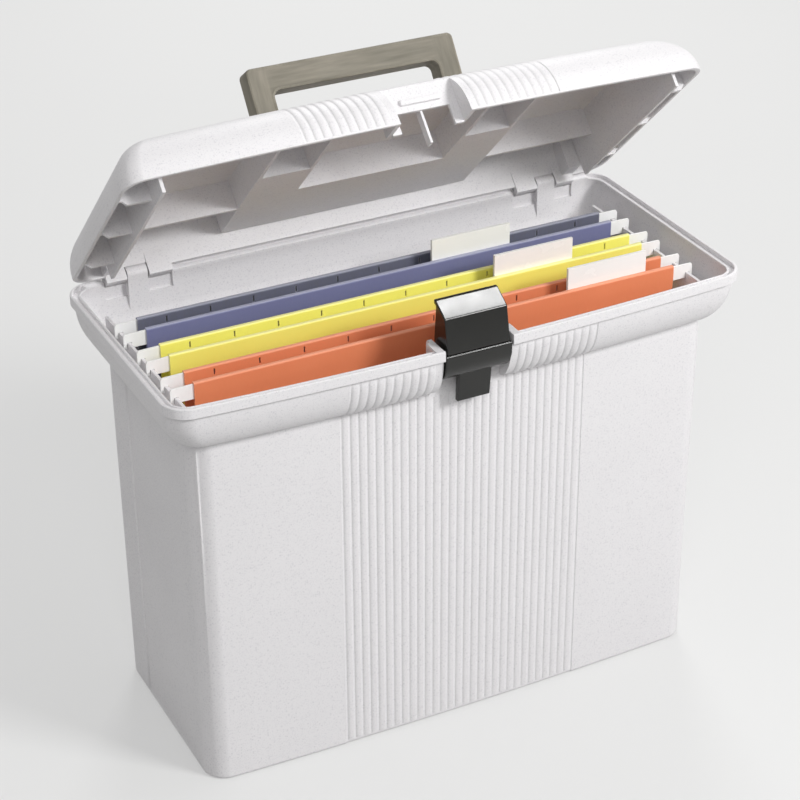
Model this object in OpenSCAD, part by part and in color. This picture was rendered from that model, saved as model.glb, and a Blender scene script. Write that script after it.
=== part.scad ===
// Portable file box for letter size hanging folders.
// A thin-walled tub with a flared flange carries a hinged lid with a folding handle,
// a rocker latch in a bay of the front flange, and three hanging folders on two rails.
// The origin is the middle of the base, X to the right, Y to the back, Z up.

/* [Tub] */
// Width across the rim
rim_w = 351.5; // [332:0.5:376]
// Depth across the rim at its corners
rim_d = 163; // [158:0.5:196]
// How far the middle of the front rim stands ahead of its corners
rim_bow = 5.5; // [0:0.5:9]
// How far the middle of the front stands ahead of its corners at the base
base_bow = 3; // [0:0.5:5]
// Height of the rim
tub_h = 255; // [225:1:280]
// Wall thickness of the tub
tub_wall = 2.5; // [2:0.1:3]
// Overhang of the flange at the sides
flange_side = 15.7; // [14:0.1:18]
// Overhang of the flange at the front and back
flange_front = 14.5; // [13:0.1:17]
// Height of the curved part of the flange
flange_h = 25; // [20:0.5:30]
// Height of the upright lip above the flange
lip_h = 6.5; // [5:0.5:9]
// Step from the lip in to the flange
lip_step = 1.9; // [1:0.1:2.4]
// Thickness of the lip
lip_t = 2; // [1.6:0.1:2.6]
// Width of the ledge behind the lip, under the edge of the lid
ledge_w = 3.5; // [2.5:0.1:5]
// Distance from the top of the lip down to the ledge
ledge_drop = 2.5; // [1.5:0.1:3]
// Draft of the body, on each side from crease to base
draft = 0.4; // [0:0.1:2]
// Corner radius of the rim
corner_r = 15.5; // [13:0.5:20]
// Corner radius of the body
body_r = 14; // [11:0.5:18]
// Rounding of the edge round the base
base_r = 2; // [1:0.5:4]

/* [Folder rails] */
// Thickness of a rail
rail_t = 2; // [1.6:0.1:2.4]
// Distance from the top of the rim down to the top of a rail
rail_drop = 12; // [11:0.5:16]
// Distance from a rail's end to the rim's corner
rail_end = 23; // [20:1:30]

/* [Hinges] */
// Radius of the knuckles
knuckle_r = 4.6; // [4:0.1:5]
// Radius of the hinge pins
hinge_pin_r = 2; // [1.5:0.1:2.4]
// Distance from the side of the rim to a hinge
hinge_inset = 23.7; // [20:0.1:40]
// Width of each outer knuckle of the lid
outer_knuckle_w = 12; // [8:0.5:14]
// Width of each middle knuckle, which is the tub's
middle_knuckle_w = 12; // [8:0.5:14]
// Width of each inner knuckle of the lid
inner_knuckle_w = 14; // [8:0.5:16]
// Gap between neighbouring knuckles
knuckle_gap = 0.8; // [0.5:0.1:1.2]
// Height of the raised part of the back lip between the hinges
back_rail_h = 1.5; // [0.5:0.1:1.6]

/* [Lid] */
// How far each side of the lid stands in from the rim
lid_side_step = 2.7; // [2.4:0.1:4]
// How far the front and back of the lid stand in from the rim
lid_end_step = 5; // [4.6:0.1:6]
// Height of the lid
lid_h = 30; // [28:0.5:36]
// Wall thickness of the lid
lid_wall = 2.5; // [2:0.1:3]
// Width of the rounded shoulder at the front and sides
shoulder_w = 30; // [22:1:36]
// Width of the rounded shoulder at the back
back_shoulder_w = 12; // [8:1:16]
// Height of the upright band below the shoulder
band_h = 2; // [1:0.5:4]
// Angle at which the lid stands open
lid_open = 44; // [20:1:80]
// Gap between the closed lid and the rim
lid_gap = 0.6; // [0.4:0.1:1]
// Thickness of the ribs and inner walls
rib_t = 2; // [1.5:0.1:2.4]
// Distance from the side of the lid to the middle of an inner wall
inner_wall_inset = 20; // [19:0.5:22]
// How far the inner walls reach below the lid's edge
inner_wall_drop = 6.5; // [3:0.5:7]
// Distance between the cross ribs along each inner wall
cross_rib_pitch = 46.5; // [40:0.5:50]

/* [Handle recess] */
// Gap between a leg of the handle and the raised panel of the lid between the legs
panel_gap = 5; // [2:0.5:8]
// Height of the underside of the recess above the lid's edge
recess_z = 10; // [9.5:0.1:11]
// Front of the legs' channels
channel_front_y = -11; // [-16:0.5:-4]
// Front of the recess between the legs
recess_front_y = 20; // [16:0.5:26]
// Distance from the recess to the back of the lid
recess_back_gap = 6; // [5:0.5:9]

/* [Handle] */
// Width across the handle
handle_w = 129; // [124:0.5:134]
// Width of a leg of the handle
handle_leg_w = 13.5; // [11:0.5:15]
// Height of the grip
grip_h = 14.7; // [11:0.1:17]
// Thickness of the handle
handle_t = 13; // [11:0.1:15]
// Distance from the pivot to the outer edge of the grip
handle_reach = 57; // [50:0.5:58]
// Distance of the pivot behind the middle of the lid
handle_pivot_y = 8; // [6:0.5:9]
// Angle between the folded and the raised handle
handle_raised = 98.9; // [70:0.1:100]
// Radius of the handle's trunnions
trunnion_r = 3; // [2.4:0.1:4]

/* [Latch] */
// Width of the upper block of the latch
latch_w = 38; // [30:0.5:40]
// Width of the tongue
tongue_w = 20; // [14:0.5:26]
// Height of the tongue's lower end below the rim
tongue_drop = 36.7; // [34:0.1:40]
// Width of the bay that the latch turns in
bay_w = 41.5; // [40.6:0.1:46]
// Thickness of the cheeks of the bay
cheek_t = 2.5; // [2:0.1:3]
// Distance from the top of the rim down to the top of the cheeks
cheek_drop = 7; // [6.5:0.1:10]
// Radius of the latch pin
latch_pin_r = 2; // [1.5:0.1:2.4]
// Height of the latch above the rim
latch_rise = 23.2; // [22:0.1:24]
// Depth of the latch recess behind the front of the lid
latch_recess_d = 13.5; // [13.4:0.1:16]
// Height of the lower edge of the latch recess's back wall
latch_recess_z = 10.4; // [9:0.1:12]

/* [Folders] */
// Distance between neighbouring folders
folder_pitch = 34.3; // [32:0.1:36]
// Middle of the middle folder, from the middle of the tub
folder_mid_y = -4.4; // [-6:0.1:0]
// Distance between the two bars of a folder
bar_spread = 13.6; // [10:0.1:14]
// Thickness of a bar
bar_t = 1.2; // [1:0.1:1.6]
// Height of a bar
bar_h = 9; // [7.5:0.1:9.5]
// Length of the hook beyond a rail
hook_w = 2; // [1.4:0.1:3]
// Thickness of the folder sheet
sheet_t = 0.8; // [0.5:0.1:1]
// Distance from a rail to the side of the sheet
sheet_inset = 10; // [8:0.5:16]
// Distance from the floor of the tub to the bottom fold
fold_gap = 6; // [3:0.5:14]
// Width of the bottom fold
fold_w = 4.8; // [3:0.1:7]
// Width of a label tab
tab_w = 51.5; // [40:0.5:60]
// Height of a label tab above the sheet
tab_rise = 12.5; // [10:0.1:15]
// Thickness of a label tab
tab_t = 1.8; // [1.6:0.1:2]
// Distance from the side of the sheet to the middle of the back folder's tab
tab_inset = 93.75; // [80:0.25:120]
// Step from the back folder's tab to the middle one's
middle_tab_step = 22.3; // [20:0.1:30]
// Step from the middle folder's tab to the front one's
front_tab_step = 28.3; // [20:0.1:30]

/* [Hidden] */
$fn = 48;
// Facets of a quarter corner, of the bowed front and of a curved profile
corner_n = 6;
bow_n = 12;
curve_n = 6;
// Overlap that joins solids, and a cut's reach past a face
bite = 0.6;
// Running clearance round a pin, on the radius
pin_fit = 0.05;
// Radial clearance between a knuckle and its pocket
pocket_fit = 0.5;

half_w = rim_w / 2;
half_d = rim_d / 2;
lip_z = tub_h - lip_h;
crease_z = lip_z - flange_h;
body_half_w = half_w - flange_side;
body_half_d = half_d - flange_front;
crease_bow = (rim_bow + base_bow) / 2;
// Small chamfer on the top of the rim and slope under the lip
rim_chamfer = 0.6;
lip_slope = 0.3;
rim_front_y = -half_d - rim_bow;
body_front_y = -body_half_d - crease_bow;
ledge_in = lip_t + ledge_w;
floor_t = tub_wall;
// How far the rails, cheeks and back rail are rooted in the wall
rail_foot = 2;
bay_foot = 4;
back_rail_gap = 4;

rail_x = body_half_w - tub_wall + rail_t / 2;
rail_top_z = tub_h - rail_drop;
rail_half_l = half_d - rail_end;

lid_half_w = half_w - lid_side_step;
lid_half_d = half_d - lid_end_step;
lid_front_y = -lid_half_d - rim_bow;
lid_z = tub_h + lid_gap;
dome_h = lid_h - band_h;
inner_wall_x = lid_half_w - inner_wall_inset;
inner_wall_front = 6;
inner_wall_back = 18;
lid_corner_r = corner_r - lid_side_step;
// How much the lid's corners tighten towards the top, for each unit of inset
corner_taper = 0.25;
cross_rib_y = -3.5;
cross_rib_gap = 4;
// Ribs behind the pivots of the handle and behind the latch
back_rib_y = 33;
latch_rib_l = 18;
latch_rib_gap = 4;
skirt_step = 1.5;

// Place of the hinge axis, from the back and the edge of the lid
hinge_out = 1.3;
hinge_up = 0.4;
hinge_y = lid_half_d + hinge_out;
hinge_z = lid_z + hinge_up;
outer_knuckle_x = half_w - hinge_inset - outer_knuckle_w;
middle_knuckle_x = outer_knuckle_x - knuckle_gap - middle_knuckle_w;
inner_knuckle_x = middle_knuckle_x - knuckle_gap - inner_knuckle_w;
pin_short = 0.5;
lug_h = 9;
gusset_root = 3;
gusset_rise = 3;

// Clearances of the handle in its recess
handle_floor_gap = 0.5;
handle_side_gap = 2;
handle_pivot_z = recess_z + lid_wall + handle_t / 2 + handle_floor_gap;
boss_t = 10;
boss_half_l = 7;
boss_over = 6;
trunnion_l = 7.5;
trunnion_end_gap = 0.5;
recess_half_w = handle_w / 2 + handle_side_gap + boss_t + lid_wall;
panel_half_w = handle_w / 2 - handle_leg_w - panel_gap;

// Place of the latch and its pivot, from the front and the top of the rim
latch_back = 1;
latch_pivot_back = 10.2;
latch_pivot_drop = 15;
latch_side_gap = 0.7;
latch_front_y = rim_front_y + latch_back;
latch_pivot_y = rim_front_y + latch_pivot_back;
latch_pivot_z = tub_h - latch_pivot_drop;
bay_half = bay_w / 2;
latch_recess_half = bay_half + 0.3;
// Catch ridge on the lid, under the hook of the latch
catch_half_w = 14;
catch_z = 15;
catch_t = 2;
latch_recess_y = lid_front_y + latch_recess_d;

// Depth of the hooks' slots below the top of a rail
slot_depth = 3.4;
hook_drop = 1.6;
bar_bottom_z = rail_top_z - slot_depth;
bar_fit = 0.3;
sheet_half_w = rail_x - sheet_inset;
sleeve_wall = 0.6;
sleeve_t = bar_t + 2 * bar_fit + 2 * sleeve_wall;
sleeve_top_z = bar_bottom_z + bar_h + sleeve_wall;
sleeve_bottom_z = bar_bottom_z - bar_fit - sleeve_wall;
fold_z = floor_t + fold_gap;
tab_foot = 5;
label_t = 0.4;
label_fit = 0.3;
tab_wall = 1;

plastic = [0.86, 0.86, 0.87];
handle_grey = [0.62, 0.59, 0.54];
black = [0.06, 0.06, 0.07];
steel = [0.7, 0.7, 0.72];
white = [0.95, 0.95, 0.93];
clear_white = [0.9, 0.92, 0.92];
sheet_colors = [[0.2, 0.2, 0.38], [0.93, 0.9, 0.3], [0.72, 0.28, 0.18]];

// Points along an arc, from angle a0 to a1
function arc_points(cx, cy, r, a0, a1, n) =
  [for (i = [0:n]) let (a = a0 + (a1 - a0) * i / n) [cx + r * cos(a), cy + r * sin(a)]];

// A rounded rectangle whose front edge is bowed forward
function outline(half_x, front_y, back_y, r, bow) = concat(
  arc_points(half_x - r, back_y - r, r, 0, 90, corner_n),
  arc_points(-half_x + r, back_y - r, r, 90, 180, corner_n),
  arc_points(-half_x + r, front_y + r, r, 180, 270, corner_n),
  [for (i = [1:bow_n - 1]) let (s = -1 + 2 * i / bow_n) [s * (half_x - r), front_y - bow * (1 - s * s)]],
  arc_points(half_x - r, front_y + r, r, 270, 360, corner_n));

// The same outline as a ring of points at one height
function ring(half_x, front_y, back_y, r, bow, z) =
  [for (p = outline(half_x, front_y, back_y, r, bow)) [p[0], p[1], z]];

// A ring of the tub, moved in from the rim by in_x at the sides and in_y at the front and back
function tub_ring(in_x, in_y, r, bow, z) = ring(half_w - in_x, -half_d + in_y, half_d - in_y, r, bow, z);

// A ring of the lid, above the lid's edge
function lid_ring(inset, back_inset, z) =
  ring(lid_half_w - inset, -lid_half_d + inset, lid_half_d - back_inset, lid_corner_r - corner_taper * inset, rim_bow,
    lid_z + z);

// A closed solid through rings that each have the same number of points
module loft(rings) {
  n = len(rings[0]);
  last = (len(rings) - 1) * n;
  sides = [for (i = [0:len(rings) - 2], j = [0:n - 1]) let (a = i * n, b = (j + 1) % n)
    each [[a + j, a + n + j, a + n + b], [a + j, a + n + b, a + b]]];
  caps = [[for (j = [0:n - 1]) j], [for (j = [n - 1:-1:0]) last + j]];
  polyhedron([for (r = rings) each r], concat(caps, sides), convexity = 10);
}

// A profile in the Y-Z plane, extruded along X between x0 and x1
module along_x(x0, x1) {
  translate([x0, 0, 0]) rotate([90, 0, 90]) linear_extrude(x1 - x0) children();
}

// A round bar along X
module rod(x0, x1, y, z, r) {
  translate([x0, y, z]) rotate([0, 90, 0]) cylinder(r = r, h = x1 - x0);
}

// A box between two corners
module block(low, high) {
  translate(low) cube(high - low);
}

// Both sides of something drawn at the right
module both_sides() {
  children();
  mirror([1, 0, 0]) children();
}

// Outer surface of the tub, from base to rim
function tub_outer_rings() = concat(
  [for (a = [90, 60, 30, 0]) let (round_in = base_r * (1 - cos(a))) tub_ring(flange_side + draft + round_in,
    flange_front + draft + round_in, body_r - round_in, base_bow, base_r * (1 - sin(a)))],
  [for (i = [curve_n:-1:0]) let (u = 90 * i / curve_n, t = 1 - cos(u)) tub_ring(
    lip_step + (flange_side - lip_step) * t, lip_step + (flange_front - lip_step) * t,
    corner_r + (body_r - corner_r) * t, rim_bow + (crease_bow - rim_bow) * t, lip_z - flange_h * sin(u))],
  [tub_ring(0, 0, corner_r, rim_bow, lip_z + lip_slope), tub_ring(0, 0, corner_r, rim_bow, tub_h - rim_chamfer),
    tub_ring(rim_chamfer, rim_chamfer, corner_r, rim_bow, tub_h)]);

// Inner surface of the tub, from rim to floor
function tub_inner_rings() = concat(
  [tub_ring(lip_t, lip_t, corner_r - lip_t, rim_bow, tub_h),
    tub_ring(lip_t, lip_t, corner_r - lip_t, rim_bow, tub_h - ledge_drop)],
  [for (i = [0:curve_n]) let (u = 90 * i / curve_n, t = 1 - cos(u)) tub_ring(
    ledge_in + (flange_side + tub_wall - ledge_in) * t, ledge_in + (flange_front + tub_wall - ledge_in) * t,
    corner_r - ledge_in + (body_r - tub_wall - corner_r + ledge_in) * t, rim_bow + (crease_bow - rim_bow) * t,
    tub_h - ledge_drop - (tub_h - ledge_drop - crease_z - tub_wall) * sin(u))],
  [tub_ring(flange_side + tub_wall + draft, flange_front + tub_wall + draft, body_r - tub_wall, base_bow,
      floor_t + base_r),
    tub_ring(flange_side + tub_wall + draft + base_r, flange_front + tub_wall + draft + base_r,
      body_r - tub_wall - base_r, base_bow, floor_t)]);

module latch_bay_cut() {
  block([-bay_half, rim_front_y - bite, crease_z - bite], [bay_half, body_front_y, tub_h + bite]);
  block([-bay_half, rim_front_y - bite, tub_h - cheek_drop],
    [bay_half, body_front_y + tub_wall + 1, tub_h + bite]);
}

// Side profile of a cheek of the latch bay
module cheek_profile() {
  low_z = crease_z - bay_foot;
  shoulder_y = rim_front_y + ledge_in;
  polygon([[rim_front_y, low_z], [rim_front_y, tub_h], [rim_front_y + lip_t, tub_h],
    [shoulder_y, tub_h - cheek_drop], [body_front_y + tub_wall, tub_h - cheek_drop],
    [body_front_y + tub_wall, low_z]]);
}

// Back wall and cheeks of the latch bay
module latch_bay() {
  half = bay_half + cheek_t;
  block([-half, body_front_y, crease_z - bay_foot], [half, body_front_y + tub_wall, tub_h - cheek_drop]);
  intersection() {
    loft(tub_outer_rings());
    both_sides() along_x(bay_half, half) cheek_profile();
  }
}

// Profile of a tub knuckle with the gusset that carries it
module tub_knuckle_profile() {
  back_y = half_d - lip_step;
  translate([hinge_y, hinge_z]) circle(r = knuckle_r);
  polygon([[back_y - gusset_root, lip_z - 1], [back_y, lip_z - 1], [hinge_y + knuckle_r, lip_z + gusset_rise],
    [hinge_y + knuckle_r, hinge_z], [hinge_y - knuckle_r, hinge_z], [hinge_y - knuckle_r, lip_z + 1]]);
}

module tub() {
  color(plastic) difference() {
    union() {
      difference() {
        loft(concat(tub_outer_rings(), tub_inner_rings()));
        latch_bay_cut();
        both_sides() {
          rod(inner_knuckle_x - knuckle_gap, inner_knuckle_x + inner_knuckle_w + knuckle_gap, hinge_y, hinge_z,
            knuckle_r + pocket_fit);
          rod(outer_knuckle_x - knuckle_gap, outer_knuckle_x + outer_knuckle_w + knuckle_gap, hinge_y, hinge_z,
            knuckle_r + pocket_fit);
        }
      }
      latch_bay();
      both_sides() {
        block([rail_x - rail_t / 2, -rail_half_l, crease_z - rail_foot], [rail_x + rail_t / 2, rail_half_l, rail_top_z]);
        along_x(middle_knuckle_x, middle_knuckle_x + middle_knuckle_w) tub_knuckle_profile();
      }
      block([-inner_knuckle_x + back_rail_gap, half_d - lip_t, tub_h - ledge_drop],
        [inner_knuckle_x - back_rail_gap, half_d, tub_h + back_rail_h]);
    }
    both_sides() rod(middle_knuckle_x - 1, middle_knuckle_x + middle_knuckle_w + 1, hinge_y, hinge_z,
      hinge_pin_r + pin_fit);
    rod(-bay_half - cheek_t - 1, bay_half + cheek_t + 1, latch_pivot_y, latch_pivot_z, latch_pin_r + pin_fit);
  }
}

module hinge_pin() {
  rod(inner_knuckle_x + pin_short, outer_knuckle_x + outer_knuckle_w - pin_short, hinge_y, hinge_z, hinge_pin_r);
}

module hinge_pin_right() {
  color(steel) hinge_pin();
}

module hinge_pin_left() {
  color(steel) mirror([1, 0, 0]) hinge_pin();
}

// Moves something from the closed lid to the open one
module opened() {
  translate([0, hinge_y, hinge_z]) rotate([-lid_open, 0, 0]) translate([0, -hinge_y, -hinge_z]) children();
}

// Outer surface of the lid, from its edge to the top
function lid_outer_rings() = concat(
  [lid_ring(0, 0, 0)],
  [for (i = [0:curve_n]) let (u = 90 * i / curve_n)
    lid_ring(shoulder_w * (1 - cos(u)), back_shoulder_w * (1 - cos(u)), band_h + dome_h * sin(u))]);

// Inner surface of the lid, from the ceiling to the edge
function lid_inner_rings() = concat(
  [for (i = [curve_n:-1:0]) let (u = 90 * i / curve_n)
    lid_ring(shoulder_w - (shoulder_w - lid_wall) * cos(u), back_shoulder_w - (back_shoulder_w - lid_wall) * cos(u),
      band_h + (dome_h - lid_wall) * sin(u))],
  [lid_ring(lid_wall, lid_wall, 0)]);

// Boxes from the underside of the recess up past the top, drawn w thinner on every side
module recess_boxes(w, low_z, high_z) {
  back_y = lid_half_d - recess_back_gap - w;
  both_sides() block([panel_half_w + w, channel_front_y + w, low_z], [recess_half_w - w, back_y, high_z]);
  block([-panel_half_w - w - bite, recess_front_y + w, low_z], [panel_half_w + w + bite, back_y, high_z]);
}

// Ribs and inner walls, which the dome of the lid trims
module lid_ribs(high_z) {
  rib_z = lid_z + recess_z;
  both_sides() {
    block([inner_wall_x - rib_t / 2, -lid_half_d + inner_wall_front, lid_z],
      [inner_wall_x + rib_t / 2, lid_half_d - inner_wall_back, high_z]);
    for (i = [-1:1]) translate([0, i * cross_rib_pitch + cross_rib_y, 0])
      block([inner_wall_x, -rib_t / 2, lid_z], [lid_half_w, rib_t / 2, high_z]);
    block([recess_half_w - bite, back_rib_y, rib_z], [inner_wall_x, back_rib_y + rib_t, high_z]);
    for (x = [panel_half_w + rib_t / 2, recess_half_w - rib_t / 2])
      block([x - rib_t / 2, lid_front_y, rib_z], [x + rib_t / 2, channel_front_y + bite, high_z]);
    block([latch_recess_half, lid_front_y, lid_z], [latch_recess_half + lid_wall, latch_recess_y + 5, high_z]);
  }
  block([-latch_recess_half, latch_recess_y, lid_z + latch_recess_z],
    [latch_recess_half, latch_recess_y + lid_wall, high_z]);
  block([-rib_t / 2, latch_recess_y + lid_wall - 0.2, lid_z], [rib_t / 2, latch_recess_y + latch_rib_l, high_z]);
}

// Parts of the inner walls and ribs that reach below the lid's edge
module lid_skirts() {
  low_z = lid_z - inner_wall_drop;
  both_sides() {
    block([inner_wall_x - rib_t / 2, -lid_half_d + inner_wall_front, low_z],
      [inner_wall_x + rib_t / 2, lid_half_d - inner_wall_back, lid_z + bite]);
    for (i = [-1:1]) translate([0, i * cross_rib_pitch + cross_rib_y, 0])
      block([inner_wall_x, -rib_t / 2, low_z + skirt_step],
        [half_w - ledge_in - cross_rib_gap, rib_t / 2, lid_z + bite]);
  }
  block([-rib_t / 2, latch_recess_y + latch_rib_gap, low_z + skirt_step],
    [rib_t / 2, latch_recess_y + latch_rib_l, lid_z + bite]);
}

// A knuckle of the lid with the lug that carries it
module lid_knuckle(x0, w) {
  rod(x0, x0 + w, hinge_y, hinge_z, knuckle_r);
  block([x0, hinge_y - knuckle_r, hinge_z], [x0 + w, lid_half_d - 0.2, hinge_z + lug_h]);
}

module pivot_boss() {
  block([recess_half_w - lid_wall - boss_t, handle_pivot_y - boss_half_l, lid_z + recess_z + 1],
    [recess_half_w - 1, handle_pivot_y + boss_half_l, lid_z + handle_pivot_z + boss_over]);
}

module lid_closed() {
  top_z = lid_z + lid_h + 1;
  difference() {
    union() {
      difference() {
        loft(concat(lid_inner_rings(), lid_outer_rings()));
        block([-latch_recess_half, lid_front_y - bite, lid_z - 1], [latch_recess_half, latch_recess_y, top_z]);
        both_sides() rod(middle_knuckle_x - knuckle_gap, middle_knuckle_x + middle_knuckle_w + knuckle_gap,
          hinge_y, hinge_z, knuckle_r + pocket_fit);
        recess_boxes(lid_wall, lid_z + recess_z + lid_wall, top_z);
      }
      intersection() {
        loft(lid_outer_rings());
        union() {
          lid_ribs(top_z);
          difference() {
            recess_boxes(0, lid_z + recess_z, top_z);
            recess_boxes(lid_wall, lid_z + recess_z + lid_wall, top_z + 1);
          }
        }
      }
      lid_skirts();
      both_sides() {
        lid_knuckle(inner_knuckle_x, inner_knuckle_w);
        lid_knuckle(outer_knuckle_x, outer_knuckle_w);
        pivot_boss();
      }
      block([-catch_half_w, latch_recess_y - catch_t, lid_z + catch_z],
        [catch_half_w, latch_recess_y + bite, lid_z + catch_z + catch_t]);
    }
    both_sides() {
      rod(inner_knuckle_x - 1, inner_knuckle_x + inner_knuckle_w + 1, hinge_y, hinge_z, hinge_pin_r + pin_fit);
      rod(outer_knuckle_x - 1, outer_knuckle_x + outer_knuckle_w + 1, hinge_y, hinge_z, hinge_pin_r + pin_fit);
      rod(recess_half_w - lid_wall - boss_t - 1, handle_w / 2 + trunnion_l + trunnion_end_gap, handle_pivot_y,
        lid_z + handle_pivot_z, trunnion_r + pin_fit);
    }
  }
}

module lid() {
  color(plastic) opened() lid_closed();
}

// Outline of the handle in its own plane, x across and y from the pivot to the grip
module handle_outline(w) {
  r = 5 - w;
  outer = outline(handle_w / 2 - w, -handle_t / 2 + w, handle_reach - w, r, 0);
  inner = outline(handle_w / 2 - handle_leg_w + w, -handle_t, handle_reach - grip_h + w, r + w, 0);
  difference() {
    polygon(outer);
    polygon(inner);
  }
}

// The handle folded flat to the back, with its pivot at the origin
module handle_flat() {
  face_rim = 2.2;
  face_step = 0.8;
  pocket_wall = 2.5;
  leg_x = handle_w / 2 - handle_leg_w;
  difference() {
    intersection() {
      translate([0, 0, -handle_t / 2]) linear_extrude(handle_t) handle_outline(0);
      union() {
        rod(-handle_w, handle_w, 0, 0, handle_t / 2);
        block([-handle_w, 0, -handle_t / 2], [handle_w, handle_reach + 1, handle_t / 2]);
      }
    }
    translate([0, 0, handle_t / 2 - face_step]) linear_extrude(face_step + 1) handle_outline(face_rim);
    block([-leg_x - 4, handle_reach - grip_h + pocket_wall, -handle_t / 2 - 1],
      [leg_x + 4, handle_reach - pocket_wall, handle_t / 2 - face_step - pocket_wall]);
  }
  both_sides() rod(handle_w / 2 - 1, handle_w / 2 + trunnion_l, 0, 0, trunnion_r);
}

module handle() {
  color(handle_grey) opened() translate([0, handle_pivot_y, lid_z + handle_pivot_z])
    rotate([handle_raised, 0, 0]) handle_flat();
}

// Side profile of the upper block: sloped front, bevelled top and the hook behind it
module latch_block_profile() {
  hook_y = latch_recess_y - 0.8;
  back_y = hook_y - 2.3;
  top_z = tub_h + latch_rise;
  polygon([[latch_front_y, tub_h - 3.7], [latch_front_y + 4, tub_h + 16], [back_y - 3, top_z - 2.6],
    [back_y - 2.6, top_z - 0.5], [hook_y, top_z], [hook_y, top_z - 2.6], [back_y, top_z - 3.2],
    [hook_y - 0.2, tub_h - 2], [latch_pivot_y + 4, tub_h - 3.5]]);
}

// Side profile of the lower body, which turns in the bay
module latch_body_profile() {
  back_y = body_front_y - 1.5;
  polygon([[latch_front_y - 0.6, tub_h - 4.6], [latch_front_y, tub_h - 3.4], [back_y - 2, tub_h - 3],
    [back_y, tub_h - 7], [back_y, tub_h - 17], [back_y - 3, tub_h - 20], [latch_front_y + 5, tub_h - 20],
    [latch_front_y + 1.4, tub_h - 16.5], [latch_front_y - 0.4, tub_h - 11]]);
}

// Side profile of the tongue that is pressed to free the lid
module tongue_profile() {
  front_y = latch_front_y + 3.4;
  polygon([[front_y, tub_h - 16], [front_y + 2.6, tub_h - tongue_drop], [front_y + 5.4, tub_h - tongue_drop],
    [front_y + 4.8, tub_h - 16]]);
}

module latch() {
  color(black) difference() {
    union() {
      along_x(-latch_w / 2, latch_w / 2) latch_block_profile();
      along_x(-bay_half + latch_side_gap, bay_half - latch_side_gap) latch_body_profile();
      along_x(-tongue_w / 2, tongue_w / 2) tongue_profile();
    }
    rod(-bay_half, bay_half, latch_pivot_y, latch_pivot_z, latch_pin_r + pin_fit);
  }
}

module latch_pin() {
  color(steel) rod(-bay_half - cheek_t + 0.3, bay_half + cheek_t - 0.3, latch_pivot_y, latch_pivot_z, latch_pin_r);
}

// Middle of folder i along Y, from the back one, 0, to the front one
function folder_y(i) = folder_mid_y + folder_pitch * (1 - i);

// Middle of the tab on folder i along X
function folder_tab_x(i) =
  sheet_half_w - tab_inset + (i > 0 ? middle_tab_step : 0) + (i > 1 ? front_tab_step : 0);

// Face of folder i that its tab lies against: the inner face of the front sleeve
function folder_tab_y(i) = folder_y(i) - bar_spread / 2 + sleeve_t / 2;

// The folded sheet: two panels, a flat bottom fold and a sleeve round each bar
module folder_sheet(i) {
  y = folder_y(i);
  top = bar_spread / 2;
  foot = fold_w / 2;
  panel_top_z = sleeve_bottom_z + sleeve_wall / 2;
  color(sheet_colors[i]) along_x(-sheet_half_w, sheet_half_w) {
    difference() {
      polygon([[y - top - sheet_t / 2, panel_top_z], [y - foot, fold_z], [y + foot, fold_z],
        [y + top + sheet_t / 2, panel_top_z]]);
      polygon([[y - top + sheet_t / 2, panel_top_z + 1], [y - foot + sheet_t, fold_z + sheet_t],
        [y + foot - sheet_t, fold_z + sheet_t], [y + top - sheet_t / 2, panel_top_z + 1]]);
    }
    for (s = [-1, 1]) difference() {
      translate([y + s * top - sleeve_t / 2, sleeve_bottom_z]) square([sleeve_t, sleeve_top_z - sleeve_bottom_z]);
      translate([y + s * top - bar_t / 2 - bar_fit, bar_bottom_z - bar_fit])
        square([bar_t + 2 * bar_fit, bar_h + bar_fit]);
    }
  }
}

// A flat bar whose hooked ends rest on the rails
module folder_bar(y) {
  slot_half = rail_t / 2 + bar_fit;
  top_z = bar_bottom_z + bar_h;
  color(white) difference() {
    block([-rail_x - slot_half - hook_w, y - bar_t / 2, bar_bottom_z],
      [rail_x + slot_half + hook_w, y + bar_t / 2, top_z]);
    both_sides() block([rail_x - slot_half, y - bar_t, bar_bottom_z - 1],
      [rail_x + slot_half, y + bar_t, rail_top_z + 0.1]);
    both_sides() block([rail_x + slot_half - 0.1, y - bar_t, top_z - hook_drop],
      [rail_x + slot_half + hook_w + 1, y + bar_t, top_z + 1]);
  }
}

module folder_front_bar(i) {
  folder_bar(folder_y(i) - bar_spread / 2);
}

module folder_rear_bar(i) {
  folder_bar(folder_y(i) + bar_spread / 2);
}

// A label tab behind the front panel: a flat sleeve that is open at its sides
module folder_tab(i) {
  x = folder_tab_x(i);
  y = folder_tab_y(i);
  color(clear_white) difference() {
    block([x - tab_w / 2, y, sleeve_top_z - tab_foot], [x + tab_w / 2, y + tab_t, sleeve_top_z + tab_rise]);
    block([x - tab_w / 2 - 1, y + tab_t / 2 - label_t, sleeve_top_z - tab_foot + tab_wall],
      [x + tab_w / 2 + 1, y + tab_t / 2 + label_t, sleeve_top_z + tab_rise - tab_wall]);
  }
}

// The paper label inside a tab
module folder_label(i) {
  x = folder_tab_x(i);
  y = folder_tab_y(i) + tab_t / 2;
  inset = tab_wall + label_fit;
  color(white) block([x - tab_w / 2 + tab_wall, y - label_t / 2, sleeve_top_z - tab_foot + inset],
    [x + tab_w / 2 - tab_wall, y + label_t / 2, sleeve_top_z + tab_rise - inset]);
}

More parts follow.
